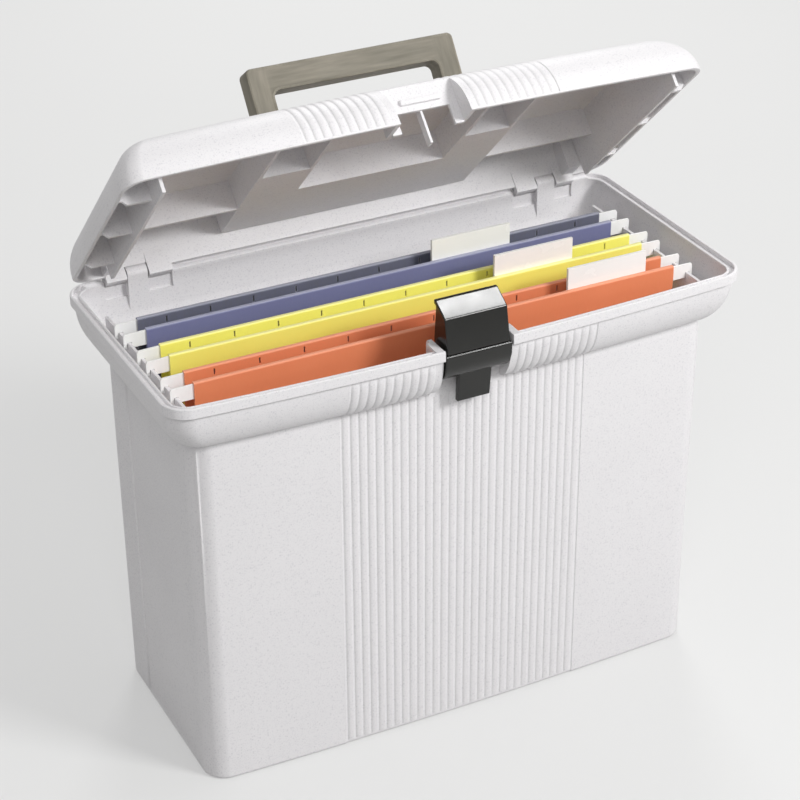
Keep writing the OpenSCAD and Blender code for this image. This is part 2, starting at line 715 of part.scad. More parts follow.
tub();
lid();
hinge_pin_left();
hinge_pin_right();
handle();
latch();
latch_pin();
folder_sheet(0);  // back_folder_sheet
folder_front_bar(0);  // back_folder_front_bar
folder_rear_bar(0);  // back_folder_rear_bar
folder_tab(0);  // back_folder_tab
folder_label(0);  // back_folder_label
folder_sheet(1);  // middle_folder_sheet
folder_front_bar(1);  // middle_folder_front_bar
folder_rear_bar(1);  // middle_folder_rear_bar
folder_tab(1);  // middle_folder_tab
folder_label(1);  // middle_folder_label
folder_sheet(2);  // front_folder_sheet
folder_front_bar(2);  // front_folder_front_bar
folder_rear_bar(2);  // front_folder_rear_bar
folder_tab(2);  // front_folder_tab
folder_label(2);  // front_folder_label
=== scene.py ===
import math
import bmesh
import bpy
from mathutils import Matrix, Vector


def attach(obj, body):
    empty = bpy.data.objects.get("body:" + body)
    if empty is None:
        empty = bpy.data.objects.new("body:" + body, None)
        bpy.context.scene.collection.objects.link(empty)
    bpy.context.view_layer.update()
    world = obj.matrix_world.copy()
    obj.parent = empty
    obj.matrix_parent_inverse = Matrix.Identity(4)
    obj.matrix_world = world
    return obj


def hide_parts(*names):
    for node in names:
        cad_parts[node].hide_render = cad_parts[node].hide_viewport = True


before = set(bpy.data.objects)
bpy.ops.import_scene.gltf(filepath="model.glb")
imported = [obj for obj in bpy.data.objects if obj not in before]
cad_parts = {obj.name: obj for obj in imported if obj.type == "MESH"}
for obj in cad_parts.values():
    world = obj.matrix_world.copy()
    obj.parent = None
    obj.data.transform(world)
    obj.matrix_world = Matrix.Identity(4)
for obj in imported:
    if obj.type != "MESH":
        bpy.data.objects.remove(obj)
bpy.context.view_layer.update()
print("frame loaded")

# all sizes are in millimetres, X to the right, Y to the back, Z up; meshes are made in metres
mm = 0.001
tub = {
    "halfW": 175.75, "halfD": 81.5, "rimBow": 5.47, "baseBow": 3.0, "height": 255.0, "wall": 2.5,
    "flangeSide": 15.7, "flangeFront": 14.5, "flangeH": 25.0, "lipH": 6.5, "lipStep": 1.9,
    "ledgeDrop": 2.5, "draft": 0.4, "rimR": 15.5, "bodyR": 14.0, "baseR": 2.0,
    "bandHalf": 75.4, "bandIn": 0.5, "panelIn": 0.8, "panelFront": -43.6, "panelBack": 31.2,
    "panelSlope": 0.8, "bead": 0.8, "slotY": (68.0, 77.0), "slotZ": (243.5, 253.0), "ridgeH": 1.0,
    "undercut": 1.0, "backTop": 254.3, "bayHalf": 20.75, "cheekT": 2.5,
    "railX": 158.55, "railHalf": 58.5, "railHalfT": 1.0, "railTop": 243.0, "backRailHalf": 108.45,
    "pinIn": 10.2, "pinDrop": 15.0, "pinR": 2.05,
}
hinge = {"y": 77.8, "z": 256.0, "r": 4.6, "pinR": 2.05, "gap": 0.8, "clear": 0.5,
         "lidIn": (112.45, 126.45), "tubMid": (127.25, 139.25), "lidOut": (140.05, 152.05)}
lid = {
    "halfW": 173.05, "halfD": 76.5, "z": 255.6, "h": 30.0, "wall": 2.5, "shoulder": 30.0, "backShoulder": 12.0,
    "band": 2.0, "cornerR": 12.8, "open": 44.0, "bandIn": 0.55, "wallX": 153.05, "drop": 6.5,
    "recessHalf": 79.0, "panelHalf": 46.0, "recessZ": 10.0, "channelFront": -11.0, "recessFront": 20.0,
    "recessBack": 70.5, "notchHalf": 21.05, "notchY": -68.5, "notchZ": 10.4, "backTrim": 0.2,
    "postHalf": 16.0, "ribLow": 8.0, "ribBack": 8.0, "ribT": 0.8,
    "crossPitch": 46.5, "crossShift": -3.5, "catchHalf": 12.0, "bossX": (66.5, 78.0),
}
creaseZ = tub["height"] - tub["lipH"] - tub["flangeH"]
lipZ = tub["height"] - tub["lipH"]
creaseBow = (tub["rimBow"] + tub["baseBow"]) / 2
rimFrontY = -tub["halfD"] - tub["rimBow"]
bodyFrontY = -tub["halfD"] + tub["flangeFront"] - creaseBow


# mesh helpers
def makeObject(name, points, faces):
    mesh = bpy.data.meshes.new(name)
    mesh.from_pydata([[c * mm for c in p] for p in points], [], faces)
    obj = bpy.data.objects.new(name, mesh)
    bpy.context.scene.collection.objects.link(obj)
    return obj


def editMesh(obj, work):
    bm = bmesh.new()
    bm.from_mesh(obj.data)
    work(bm)
    bm.to_mesh(obj.data)
    bm.free()
    return obj


def turnOutward(obj):
    return editMesh(obj, lambda bm: bmesh.ops.recalc_face_normals(bm, faces=bm.faces))


def settle(obj):
    # modifiers are baked into a plain mesh
    graph = bpy.context.evaluated_depsgraph_get()
    mesh = bpy.data.meshes.new_from_object(obj.evaluated_get(graph))
    obj.modifiers.clear()
    old = obj.data
    obj.data = mesh
    bpy.data.meshes.remove(old)
    return obj


def roundEdges(obj, width, segments=2, angle=30):
    mod = obj.modifiers.new("round", "BEVEL")
    mod.width = width * mm
    mod.segments = segments
    mod.limit_method = "ANGLE"
    mod.angle_limit = math.radians(angle)
    return settle(obj)


def loft(name, rings):
    n = len(rings[0])
    faces = [list(range(n - 1, -1, -1)), [(len(rings) - 1) * n + j for j in range(n)]]
    for i in range(len(rings) - 1):
        a = i * n
        faces += [(a + j, a + (j + 1) % n, a + n + (j + 1) % n, a + n + j) for j in range(n)]
    return makeObject(name, [p for r in rings for p in r], faces)


def block(name, low, high, soft=0.0):
    points = [(x, y, z) for x in (low[0], high[0]) for y in (low[1], high[1]) for z in (low[2], high[2])]
    faces = [(0, 1, 3, 2), (4, 6, 7, 5), (0, 4, 5, 1), (2, 3, 7, 6), (0, 2, 6, 4), (1, 5, 7, 3)]
    obj = turnOutward(makeObject(name, points, faces))
    return roundEdges(obj, soft) if soft else obj


def extrude(name, n, points):
    # the points hold one outline of n points twice
    faces = [list(range(n)), list(range(2 * n - 1, n - 1, -1))]
    faces += [(j, n + j, n + (j + 1) % n, (j + 1) % n) for j in range(n)]
    return turnOutward(makeObject(name, points, faces))


def prism(name, profile, x0, x1):
    # profile is a list of (y, z)
    return extrude(name, len(profile), [(x, y, z) for x in (x0, x1) for y, z in profile])


def plate(name, profile, y0, y1, side=1):
    # profile is a list of (x, z)
    return extrude(name, len(profile), [(side * x, y, z) for y in (y0, y1) for x, z in profile])


def circle(y, z, r, n=40):
    return [(y + r * math.cos(2 * math.pi * i / n), z + r * math.sin(2 * math.pi * i / n)) for i in range(n)]


def onCircle(cx, cy, r, degrees):
    t = math.radians(degrees)
    return cx + r * math.cos(t), cy + r * math.sin(t)


def quarter(order, steps):
    # angles of a quarter turn, each with how far it has moved in
    for i in order:
        u = math.radians(90 * i / steps)
        yield u, 1 - math.cos(u)


def rod(name, x0, x1, y, z, r):
    return prism(name, circle(y, z, r), x0, x1)


def bothSides(make, name, x0, x1, *rest):
    return [make(name + "Right", x0, x1, *rest), make(name + "Left", -x1, -x0, *rest)]


def blockPair(name, low, high, soft=0.0):
    return [block(name + "Right", low, high, soft),
            block(name + "Left", (-high[0], low[1], low[2]), (-low[0], high[1], high[2]), soft)]


def merge(name, parts):
    # several closed shells as one object
    bm = bmesh.new()
    for part in parts:
        bm.from_mesh(part.data)
        bpy.data.objects.remove(part)
    mesh = bpy.data.meshes.new(name)
    bm.to_mesh(mesh)
    bm.free()
    obj = bpy.data.objects.new(name, mesh)
    bpy.context.scene.collection.objects.link(obj)
    return obj


def combine(obj, parts, operation, selfTouch=False):
    for part in parts:
        mod = obj.modifiers.new("solid", "BOOLEAN")
        mod.operation = operation
        mod.solver = "EXACT"
        mod.use_self = selfTouch
        mod.object = part
    settle(obj)
    for part in parts:
        bpy.data.objects.remove(part)
    return obj


def addNode(tree, kind, links=(), **values):
    node = tree.nodes.new(kind)
    for key, value in values.items():
        setattr(node, key, value)
    for socket, source in links:
        target = node.inputs[socket]
        if isinstance(source, bpy.types.NodeSocket):
            tree.links.new(source, target)
        else:
            target.default_value = source
    return node


def calc(tree, operation, *values):
    return addNode(tree, "ShaderNodeMath", list(enumerate(values)), operation=operation).outputs[0]


def openMatrix():
    pivot = Matrix.Translation((0, hinge["y"] * mm, hinge["z"] * mm))
    return pivot @ Matrix.Rotation(math.radians(-lid["open"]), 4, "X") @ pivot.inverted()


def shade(obj, angle=32):
    mesh = obj.data
    mesh.polygons.foreach_set("use_smooth", [True] * len(mesh.polygons))
    mesh.set_sharp_from_angle(angle=math.radians(angle))
    mod = obj.modifiers.new("normals", "WEIGHTED_NORMAL")
    mod.keep_sharp = True
    return settle(obj)


def finishPiece(obj, material, body, replaced=(), angle=32):
    editMesh(obj, lambda bm: bmesh.ops.remove_doubles(bm, verts=bm.verts, dist=1e-6))
    shade(obj, angle)
    if material:
        obj.data.materials.clear()
        obj.data.materials.append(material)
    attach(obj, body)
    if replaced:
        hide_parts(*replaced)
    print("piece", obj.name, len(obj.data.polygons), "faces")
    return obj


# outlines of the two shells
arcSteps = (0, 9, 18, 27, 36, 41, 43.4, 45, 46.6, 49, 54, 63, 72, 81, 90)


def cornerArc(cx, cy, r, start, z, bead):
    # the bead is a fine raised line in the middle of a corner
    return [(*onCircle(cx, cy, r + (bead if 43 < a < 47 else 0), start + a), z) for a in arcSteps]


def ring(halfX, frontY, backY, r, bow, z, bandIn=0.0, bead=0.0, panelIn=0.0, backZ=None):
    # a rounded rectangle at one height; the front is bowed and may have a shallow band for the ribs
    farX = halfX - r
    band = tub["bandHalf"]
    inner = [band * k / 6 for k in range(-6, 7)]
    outer = [band + 0.5 + (farX - band - 0.5) * k / 7 for k in range(7)]
    front = [-x for x in reversed(outer)] + inner + outer
    points = cornerArc(farX, backY - r, r, 0, z, bead) + cornerArc(-farX, backY - r, r, 90, z, bead)
    front0, back0, slope = tub["panelFront"], tub["panelBack"], tub["panelSlope"]
    edges = ((back0 + slope, 0), (back0, panelIn), (front0, panelIn), (front0 - slope, 0))
    # the side panel's edges stay between the corners, also where a ring is far inside
    low, high = frontY + r + 0.1, backY - r - 0.1
    sideY = [(min(max(y, low + 0.2 * (3 - k)), high - 0.2 * k), d) for k, (y, d) in enumerate(edges)]
    points += [(-halfX + d, y, z) for y, d in sideY]
    points += cornerArc(-farX, frontY + r, r, 180, z, bead)[:-1]
    points += [(x, frontY - bow * (1 - (x / farX) ** 2) + (bandIn if abs(x) < band + 0.1 else 0), z)
               for x in front]
    points += cornerArc(farX, frontY + r, r, 270, z, bead)[1:]
    points += [(halfX - d, y, z) for y, d in reversed(sideY)]
    if backZ is not None:
        points = [(x, y, backZ if y > backY - 1 else z) for x, y, _ in points]
    return points


def tubRing(inX, inY, r, bow, z, **extra):
    return ring(tub["halfW"] - inX, -tub["halfD"] + inY, tub["halfD"] - inY, r, bow, z, **extra)


def mix(a, b, t):
    return a + (b - a) * t


def tubOuter():
    t = tub
    rings = []
    for a in (90, 65, 40, 20, 0):
        c = t["baseR"] * (1 - math.cos(math.radians(a)))
        rings.append(tubRing(t["flangeSide"] + t["draft"] + c, t["flangeFront"] + t["draft"] + c, t["bodyR"] - c,
                             t["baseBow"], t["baseR"] * (1 - math.sin(math.radians(a))), bandIn=t["bandIn"]))
    for z, bead, panel in ((2.4, 0, 0), (4.5, 0, 1), (60, 0, 1), (100, 0.12, 1), (140, 0.5, 1), (180, 0.85, 1),
                           (217, 1, 1), (220, 0, 0), (222.7, 0, 0)):
        share = (z - t["baseR"]) / (creaseZ - t["baseR"])
        off = t["draft"] * (1 - share) + (t["undercut"] if z > 221 else 0)
        rings.append(tubRing(t["flangeSide"] + off, t["flangeFront"] + off, t["bodyR"],
                             mix(t["baseBow"], creaseBow, share), z, bandIn=t["bandIn"], bead=t["bead"] * bead,
                             panelIn=t["panelIn"] * panel))
    for u, k in quarter(range(14, -1, -1), 14):
        rings.append(tubRing(mix(t["lipStep"], t["flangeSide"], k), mix(t["lipStep"], t["flangeFront"], k),
                             mix(t["rimR"], t["bodyR"], k), mix(t["rimBow"], creaseBow, k),
                             lipZ - t["flangeH"] * math.sin(u), bandIn=t["bandIn"]))
    for off, z in ((1.9, lipZ + 0.15), (0.25, lipZ + 0.35), (0.0, lipZ + 0.7), (0.0, t["height"] - 0.9),
                   (0.25, t["height"] - 0.3), (0.8, t["height"])):
        rings.append(tubRing(off, off, t["rimR"], t["rimBow"], z))
    return rings


def tubInner():
    t = tub
    top = t["height"]
    low = top - t["ledgeDrop"]
    rings = []
    for off, z in ((1.4, top), (1.85, top - 0.25), (2.0, top - 0.7), (2.0, low)):
        rings.append(tubRing(off, off, t["rimR"] - off, t["rimBow"], z, backZ=max(z, t["backTop"] - off / 20)))
    back, ridge = t["backTop"], low + t["ridgeH"]
    for off, z, backZ in ((4.7, low, back - 0.1), (4.9, ridge - 0.2, back - 0.11), (5.2, ridge, back - 0.12),
                          (5.9, ridge, back - 0.2), (6.3, ridge - 0.4, back - 0.5), (6.3, low - 0.5, low - 0.5)):
        rings.append(tubRing(off, off, t["rimR"] - off, t["rimBow"], z, backZ=backZ))
    inX, inY = t["flangeSide"] + t["wall"], t["flangeFront"] + t["wall"]
    for u, k in quarter(range(1, 13), 12):
        rings.append(tubRing(mix(5.7, inX, k), mix(5.7, inY, k),
                             mix(t["rimR"] - 5.7, t["bodyR"] - t["wall"], k), mix(t["rimBow"], creaseBow, k),
                             low - (low - creaseZ - t["wall"]) * math.sin(u)))
    for a in (0, 30, 60, 90):
        c = t["baseR"] * (1 - math.cos(math.radians(a)))
        s = t["baseR"] * (1 - math.sin(math.radians(a)))
        rings.append(tubRing(inX + t["draft"] + c, inY + t["draft"] + c, t["bodyR"] - t["wall"] - c, t["baseBow"],
                             t["wall"] + s))
    return rings


def cheekProfile():
    # follows the flange a little inside its surface
    t = tub
    back = bodyFrontY + t["wall"]
    points = [(back, creaseZ - 4), (bodyFrontY + 0.9, creaseZ - 4)]
    for u, k in quarter(range(14, -1, -1), 14):
        bow = mix(t["rimBow"], creaseBow, k) * (1 - (22 / 160) ** 2)
        y = -t["halfD"] + mix(t["lipStep"], t["flangeFront"], k) - bow + t["bandIn"] + 0.15
        points.append((y, lipZ - t["flangeH"] * math.sin(u) + 0.1))
    points += [(rimFrontY + 0.3, lipZ + 0.6), (rimFrontY + 0.3, t["height"] - 0.3), (back - 1.2, t["height"] - 0.3),
               (back, t["height"] - 2)]
    return points


def buildTub():
    t = tub
    top, half = t["height"], t["bayHalf"]
    shell = loft("tubShell", tubOuter() + tubInner())
    cheeks = bothSides(lambda n, a, b: prism(n, cheekProfile(), a, b), "cheek", half - 2, half + t["cheekT"])
    combine(shell, cheeks, "UNION")
    cuts = [block("bayLow", (-half, rimFrontY - 2, creaseZ - 0.6), (half, bodyFrontY, top + 2)),
            block("bayHigh", (-half, rimFrontY - 2, top - 7), (half, bodyFrontY + t["wall"] + 1, top + 2))]
    gap = hinge["gap"]
    y, z, r = hinge["y"], hinge["z"], hinge["r"]
    for low, high in (hinge["lidIn"], hinge["lidOut"]):
        cuts += bothSides(rod, "pocket", low - gap, high + gap, y, z, r + hinge["clear"])
        cuts += blockPair("slot", (low - gap, t["slotY"][0], t["slotZ"][0]),
                          (high + gap, t["slotY"][1], t["slotZ"][1]))
    combine(shell, cuts, "DIFFERENCE")
    back = t["halfD"] - t["lipStep"]
    arc = [onCircle(y, z, r, a) for a in range(0, 181, 12)]
    knuckle = [(back - 3, lipZ - 1), (back, lipZ - 1), (y + r, lipZ + 3)] + arc + [
        (y - r, 235), (y - r + 2.5, 231), (back - 4.7, 232.5)]
    adds = [block("bayWall", (-half - 2, bodyFrontY + 0.1, creaseZ - 4), (half + 2, bodyFrontY + 2.6, top - 7)),
            block("backRail", (-t["backRailHalf"], t["halfD"] - 2, top - 4),
                  (t["backRailHalf"], t["halfD"] - 0.02, top + 1.5), 0.35)]
    adds += blockPair("cheekTop", (half + 0.05, rimFrontY + 0.6, top - 2.6),
                      (half + 4.6, rimFrontY + 13.5, top - 0.1), 0.3)
    adds += blockPair("rail", (t["railX"] - t["railHalfT"], -t["railHalf"], creaseZ - 2),
                      (t["railX"] + t["railHalfT"], t["railHalf"], t["railTop"]), 0.4)
    adds += bothSides(lambda n, a, b: prism(n, knuckle, a, b), "knuckle", *hinge["tubMid"])
    combine(shell, adds, "UNION")
    low, high = hinge["tubMid"]
    bores = bothSides(rod, "bore", low - 1, high + 1, y, z, hinge["pinR"])
    bores += [rod("latchBore", -half - 3.5, half + 3.5, rimFrontY + t["pinIn"], top - t["pinDrop"], t["pinR"])]
    combine(shell, bores, "DIFFERENCE")
    return shell


# ribs: one rib follows the front, and a node tree repeats it
def ribMesh(name, path, width, height, sink=0.25):
    # path is a list of (y, z, bow, reach, normalY, normalZ) at x = 0
    shape = [(-0.5, -1.0), (-0.5, 0.0), (-0.36, 0.62), (-0.16, 0.95), (0.16, 0.95), (0.36, 0.62), (0.5, 0.0),
             (0.5, -1.0)]
    n = len(shape)
    points, bows, reaches = [], [], []
    last = len(path) - 1
    for i, (y, z, bow, reach, ny, nz) in enumerate(path):
        ends = 0.0 if i in (0, last) else 1.0
        for u, h in shape:
            lift = -sink if h < 0 else (h * height * ends - sink * (1 - ends))
            points.append((u * width, y + ny * lift, z + nz * lift))
            bows.append(bow * mm)
            reaches.append(reach * mm)
    faces = [list(range(n)), [last * n + j for j in range(n - 1, -1, -1)]]
    for i in range(last):
        a = i * n
        faces += [(a + j, a + n + j, a + n + (j + 1) % n, a + (j + 1) % n) for j in range(n)]
    obj = turnOutward(makeObject(name, points, faces))
    for key, values in (("bowHere", bows), ("reachHere", reaches)):
        attribute = obj.data.attributes.new(key, "FLOAT", "POINT")
        attribute.data.foreach_set("value", values)
    return obj


def rowTree(name, *extra):
    # a node tree that starts with a line of points along X
    tree = bpy.data.node_groups.new(name, "GeometryNodeTree")
    for label, kind in (("Geometry", "Geometry"), ("Count", "Int"), ("Pitch", "Float"), ("Start", "Vector"),
                        *extra, ("Material", "Material")):
        tree.interface.new_socket(label, in_out="INPUT", socket_type="NodeSocket" + kind)
    tree.interface.new_socket("Geometry", in_out="OUTPUT", socket_type="NodeSocketGeometry")
    given = tree.nodes.new("NodeGroupInput").outputs
    offset = addNode(tree, "ShaderNodeCombineXYZ", [("X", given["Pitch"])])
    line = addNode(tree, "GeometryNodeMeshLine", [("Count", given["Count"]), ("Start Location", given["Start"]),
                                                  ("Offset", offset.outputs[0])], mode="OFFSET")
    return tree, given, line.outputs[0]


def rowCopies(tree, points, item):
    return addNode(tree, "GeometryNodeInstanceOnPoints", [("Points", points), ("Instance", item)]).outputs[0]


def endTree(tree, given, shape):
    paint = addNode(tree, "GeometryNodeSetMaterial", [("Geometry", shape), ("Material", given["Material"])])
    tree.links.new(paint.outputs[0], tree.nodes.new("NodeGroupOutput").inputs[0])
    return tree


def repeatTree():
    tree, given, points = rowTree("ribRow")
    real = addNode(tree, "GeometryNodeRealizeInstances", [(0, rowCopies(tree, points, given["Geometry"]))])
    # each copy moves back to follow the bowed front: y += bow * (x / reach) squared
    place = addNode(tree, "GeometryNodeInputPosition")
    parts = addNode(tree, "ShaderNodeSeparateXYZ", [(0, place.outputs[0])])
    bow, reach = (addNode(tree, "GeometryNodeInputNamedAttribute", [("Name", key)], data_type="FLOAT")
                  .outputs["Attribute"] for key in ("bowHere", "reachHere"))
    share = calc(tree, "DIVIDE", parts.outputs["X"], reach)
    rise = calc(tree, "MULTIPLY", calc(tree, "MULTIPLY", share, share), bow)
    back = addNode(tree, "ShaderNodeCombineXYZ", [("Y", rise)])
    move = addNode(tree, "GeometryNodeSetPosition", [("Geometry", real.outputs[0]), ("Offset", back.outputs[0])])
    return endTree(tree, given, move.outputs[0])


def runTree(obj, tree, values):
    mod = obj.modifiers.new("nodes", "NODES")
    mod.node_group = tree
    names = {s.name: s.identifier for s in tree.interface.items_tree if s.in_out == "INPUT"}
    for key, value in values.items():
        mod[names[key]] = value
    return settle(obj)


ribs = {"pitch": 5.0, "width": 4.5, "height": {"tub": 0.72, "lid": 0.58}, "count": 10, "firstCentre": -22.5,
        "firstLong": 27.5}


def tubRibPath(top):
    t = tub
    path = []
    steps = [2.2, 3.2] + [creaseZ * k / 8 for k in range(1, 8)] + [creaseZ - 3.5, creaseZ - 1.2]
    for z in steps:
        share = (z - t["baseR"]) / (creaseZ - t["baseR"])
        bow = mix(t["baseBow"], creaseBow, share)
        y = -t["halfD"] + t["flangeFront"] + t["draft"] * (1 - share) - bow + t["bandIn"]
        path.append((y, z, bow, t["halfW"] - t["flangeSide"] - t["bodyR"], -1.0, 0.0))
    if top:
        for u, k in quarter(range(13, -1, -1), 14):
            bow = mix(t["rimBow"], creaseBow, k)
            reach = t["halfW"] - mix(t["lipStep"], t["flangeSide"], k) - mix(t["rimR"], t["bodyR"], k)
            y = -t["halfD"] + mix(t["lipStep"], t["flangeFront"], k) - bow + t["bandIn"]
            ny, nz = -math.cos(u) * t["flangeH"], -math.sin(u) * (t["flangeFront"] - t["lipStep"])
            size = math.hypot(ny, nz)
            path.append((y, lipZ - t["flangeH"] * math.sin(u), bow, reach, ny / size, nz / size))
    return path


def lidRibPath(notched):
    # along the front band, over the shoulder and back across the top
    path = []
    if not notched:
        for z in (0.9, 1.8):
            path.append((-lid["halfD"] - tub["rimBow"] + lid["bandIn"], z, -1.0, 0.0, 0.0))
    for u, k in quarter(range(1, 17), 16):
        inset = lid["shoulder"] * k
        y = -lid["halfD"] + inset - tub["rimBow"] + lid["bandIn"] * math.cos(u)
        z = lid["band"] + (lid["h"] - lid["band"]) * math.sin(u) - lid["bandIn"] * math.sin(u)
        ny, nz = -math.cos(u) * (lid["h"] - lid["band"]), math.sin(u) * lid["shoulder"]
        if notched and y < lid["notchY"] + 1.5:
            continue
        path.append((y, z, ny / math.hypot(ny, nz), nz / math.hypot(ny, nz), inset))
    for y in (-45.0, -30.0, -17.0, -15.5):
        path.append((y, lid["h"] - lid["bandIn"], 0.0, 1.0, lid["shoulder"]))
    result = []
    for y, z, ny, nz, inset in path:
        reach = lid["halfW"] - inset - (lid["cornerR"] - 0.25 * inset)
        result.append((y, z + lid["z"], tub["rimBow"], reach, ny, nz))
    return result


def buildRibs(name, longPath, shortPath, tree, material):
    rows = []
    p = ribs["pitch"]
    for tag, path, start in (("Centre", shortPath, ribs["firstCentre"]), ("Right", longPath, ribs["firstLong"]),
                             ("Left", longPath, -ribs["firstLong"] - (ribs["count"] - 1) * p)):
        row = ribMesh(name + tag, path, ribs["width"], ribs["height"][name[:3]])
        rows.append(runTree(row, tree, {"Count": ribs["count"], "Pitch": p * mm,
                                        "Start": [start * mm, 0.0, 0.0], "Material": material}))
    return merge(name, rows)


# lid, drawn closed and then turned open
def lidRing(inset, backInset, z, bandIn=0.0):
    return ring(lid["halfW"] - inset, -lid["halfD"] + inset, lid["halfD"] - lid["backTrim"] - backInset,
                lid["cornerR"] - 0.25 * inset, tub["rimBow"], lid["z"] + z, bandIn=bandIn)


def lidOuter(bandIn, shrink=0.0):
    rings = [lidRing(0.7, 0.7, 0.0), lidRing(0.2, 0.2, 0.2), lidRing(0.0, 0.0, 0.7), lidRing(0.0, 0.0, 0.8, bandIn)]
    if shrink:
        rings = [lidRing(shrink, shrink, 0.02, bandIn)]
    for u, k in quarter(range(17), 16):
        rings.append(lidRing(shrink + lid["shoulder"] * k, shrink + lid["backShoulder"] * k,
                             lid["band"] + (lid["h"] - lid["band"] - shrink) * math.sin(u), bandIn))
    return rings


def lidInner():
    rings = []
    w = lid["wall"]
    for u, _ in quarter(range(12, -1, -1), 12):
        rings.append(lidRing(lid["shoulder"] - (lid["shoulder"] - w) * math.cos(u),
                             lid["backShoulder"] - (lid["backShoulder"] - w) * math.cos(u),
                             lid["band"] + (lid["h"] - lid["band"] - w) * math.sin(u)))
    return rings + [lidRing(w, w, 0.6), lidRing(w - 0.3, w - 0.3, 0.1), lidRing(w - 0.7, w - 0.7, 0.0)]


def recessBoxes(w, lowZ, highZ, soft=0.0):
    back = lid["recessBack"] - w
    parts = blockPair("channel", (lid["panelHalf"] + w, lid["channelFront"] + w, lowZ),
                      (lid["recessHalf"] - w, back, highZ), soft)
    parts.append(block("trough", (-lid["panelHalf"] - w - 1.5, lid["recessFront"] + w, lowZ),
                       (lid["panelHalf"] + w + 1.5, back, highZ), soft))
    first = parts[0]
    return combine(first, parts[1:], "UNION")


def lidWalls(highZ):
    base = lid["z"]
    frontY = -lid["halfD"] - tub["rimBow"]
    x, low, rib = lid["wallX"], base + lid["recessZ"], 1.0
    walls = blockPair("innerWall", (x - rib, -lid["halfD"] + 6, base), (x + rib, lid["halfD"] - 18, highZ))
    for i in (-1, 0, 1):
        y = i * lid["crossPitch"] + lid["crossShift"]
        walls += blockPair("crossRib", (x, y - rib, base), (lid["halfW"], y + rib, highZ))
    walls += blockPair("backRib", (lid["recessHalf"] - 1, 33, low), (x, 35, highZ))
    for ribX in (lid["panelHalf"] + rib, lid["recessHalf"] - rib):
        walls += blockPair("frontRib", (ribX - rib, frontY, low), (ribX + rib, lid["channelFront"] + 1, highZ))
    n = lid["notchHalf"]
    walls += blockPair("notchSide", (n + 0.03, frontY, base), (n + 2.5, lid["notchY"] + 5, highZ))
    walls.append(block("notchBack", (-n - 1, lid["notchY"] + 0.03, base + lid["notchZ"]),
                       (n + 1, lid["notchY"] + 2.5, highZ)))
    return walls


def lidSkirts():
    low = lid["z"] - lid["drop"]
    x = lid["wallX"]
    parts = blockPair("skirt", (x - 1, -lid["halfD"] + 6, low), (x + 1, lid["halfD"] - 18, lid["z"] + 0.6), 0.3)
    slope = [(x, low + 4), (167.2, low + 4), (169.6, lid["z"]), (169.6, lid["z"] + 0.6), (x, lid["z"] + 0.6)]
    for i in (-1, 0, 1):
        y = i * lid["crossPitch"] + lid["crossShift"]
        parts += [plate("ribSkirt" + str(i) + str(side), slope, y - 1, y + 1, side) for side in (1, -1)]
    t, y = lid["ribT"], lid["notchY"]
    parts.append(block("latchRib", (-t, y + 2.3, lid["z"] - lid["ribLow"]),
                       (t, y + lid["ribBack"], lid["z"] + 26.3), 0.3))
    parts += blockPair("notchPost", (lid["postHalf"], y - 0.05, lid["z"] - 1),
                       (lid["notchHalf"] + 0.3, y + 2.4, lid["z"] + 13.3), 0.3)
    return parts


def lugProfile():
    y, z, r = hinge["y"], hinge["z"], hinge["r"]
    rear = lid["halfD"] - 0.4
    arc = [onCircle(y, z, r, a) for a in range(-80, 91, 10)]
    return [(y - r, z + 9), (y - r, z - r + 1.4), (y - r + 0.4, z - r + 0.4), (y - r + 1.4, z - r)] + arc + [
        (rear, z + r + 0.3), (rear, z + 9)]


def buildLid():
    base = lid["z"]
    topZ = base + lid["h"] + 1
    floorZ = base + lid["recessZ"] + lid["wall"]
    shell = loft("lidShell", lidInner() + lidOuter(lid["bandIn"]))
    n = lid["notchHalf"]
    y, z, r = hinge["y"], hinge["z"], hinge["r"]
    low, high = hinge["tubMid"]
    cuts = [block("notch", (-n, -90, base - 1), (n, lid["notchY"], topZ + 2)),
            recessBoxes(lid["wall"], floorZ, topZ + 2)]
    cuts += bothSides(rod, "clear", low - hinge["gap"], high + hinge["gap"], y, z, r + hinge["clear"])
    combine(shell, cuts, "DIFFERENCE")
    tray = recessBoxes(0, base + lid["recessZ"], topZ)
    combine(tray, [recessBoxes(lid["wall"], floorZ, topZ + 2, 0.6)], "DIFFERENCE")
    post = blockPair("cornerPost", (lid["wallX"] - 7.8, 62, base + 0.7),
                     (lid["wallX"] + 0.2, lid["halfD"] - 2, topZ))
    inside = merge("lidInside", lidWalls(topZ) + post)
    for part in (tray, inside):
        dome = loft("dome", lidOuter(lid["bandIn"], 0.7))
        combine(part, [dome], "INTERSECT", selfTouch=True)
    adds = [tray, inside] + lidSkirts()
    for low, high in (hinge["lidIn"], hinge["lidOut"]):
        adds += bothSides(lambda m, a, b: prism(m, lugProfile(), a, b), "lug", low, high)
    boss = base + lid["recessZ"]
    bossLow, bossHigh = lid["bossX"]
    adds += blockPair("boss", (bossLow, 1, boss + 1), (bossHigh, 15, boss + 15.5), 0.6)
    adds.append(block("catch", (-lid["catchHalf"], lid["notchY"] - 2, base + 14),
                      (lid["catchHalf"], lid["notchY"] + 1, base + 17.4), 0.95))
    combine(shell, adds, "UNION")
    bores = []
    for low, high in (hinge["lidIn"], hinge["lidOut"]):
        bores += bothSides(rod, "bore", low - 1, high + 1, y, z, hinge["pinR"])
    combine(shell, bores, "DIFFERENCE")
    shell.data.transform(openMatrix())
    return shell


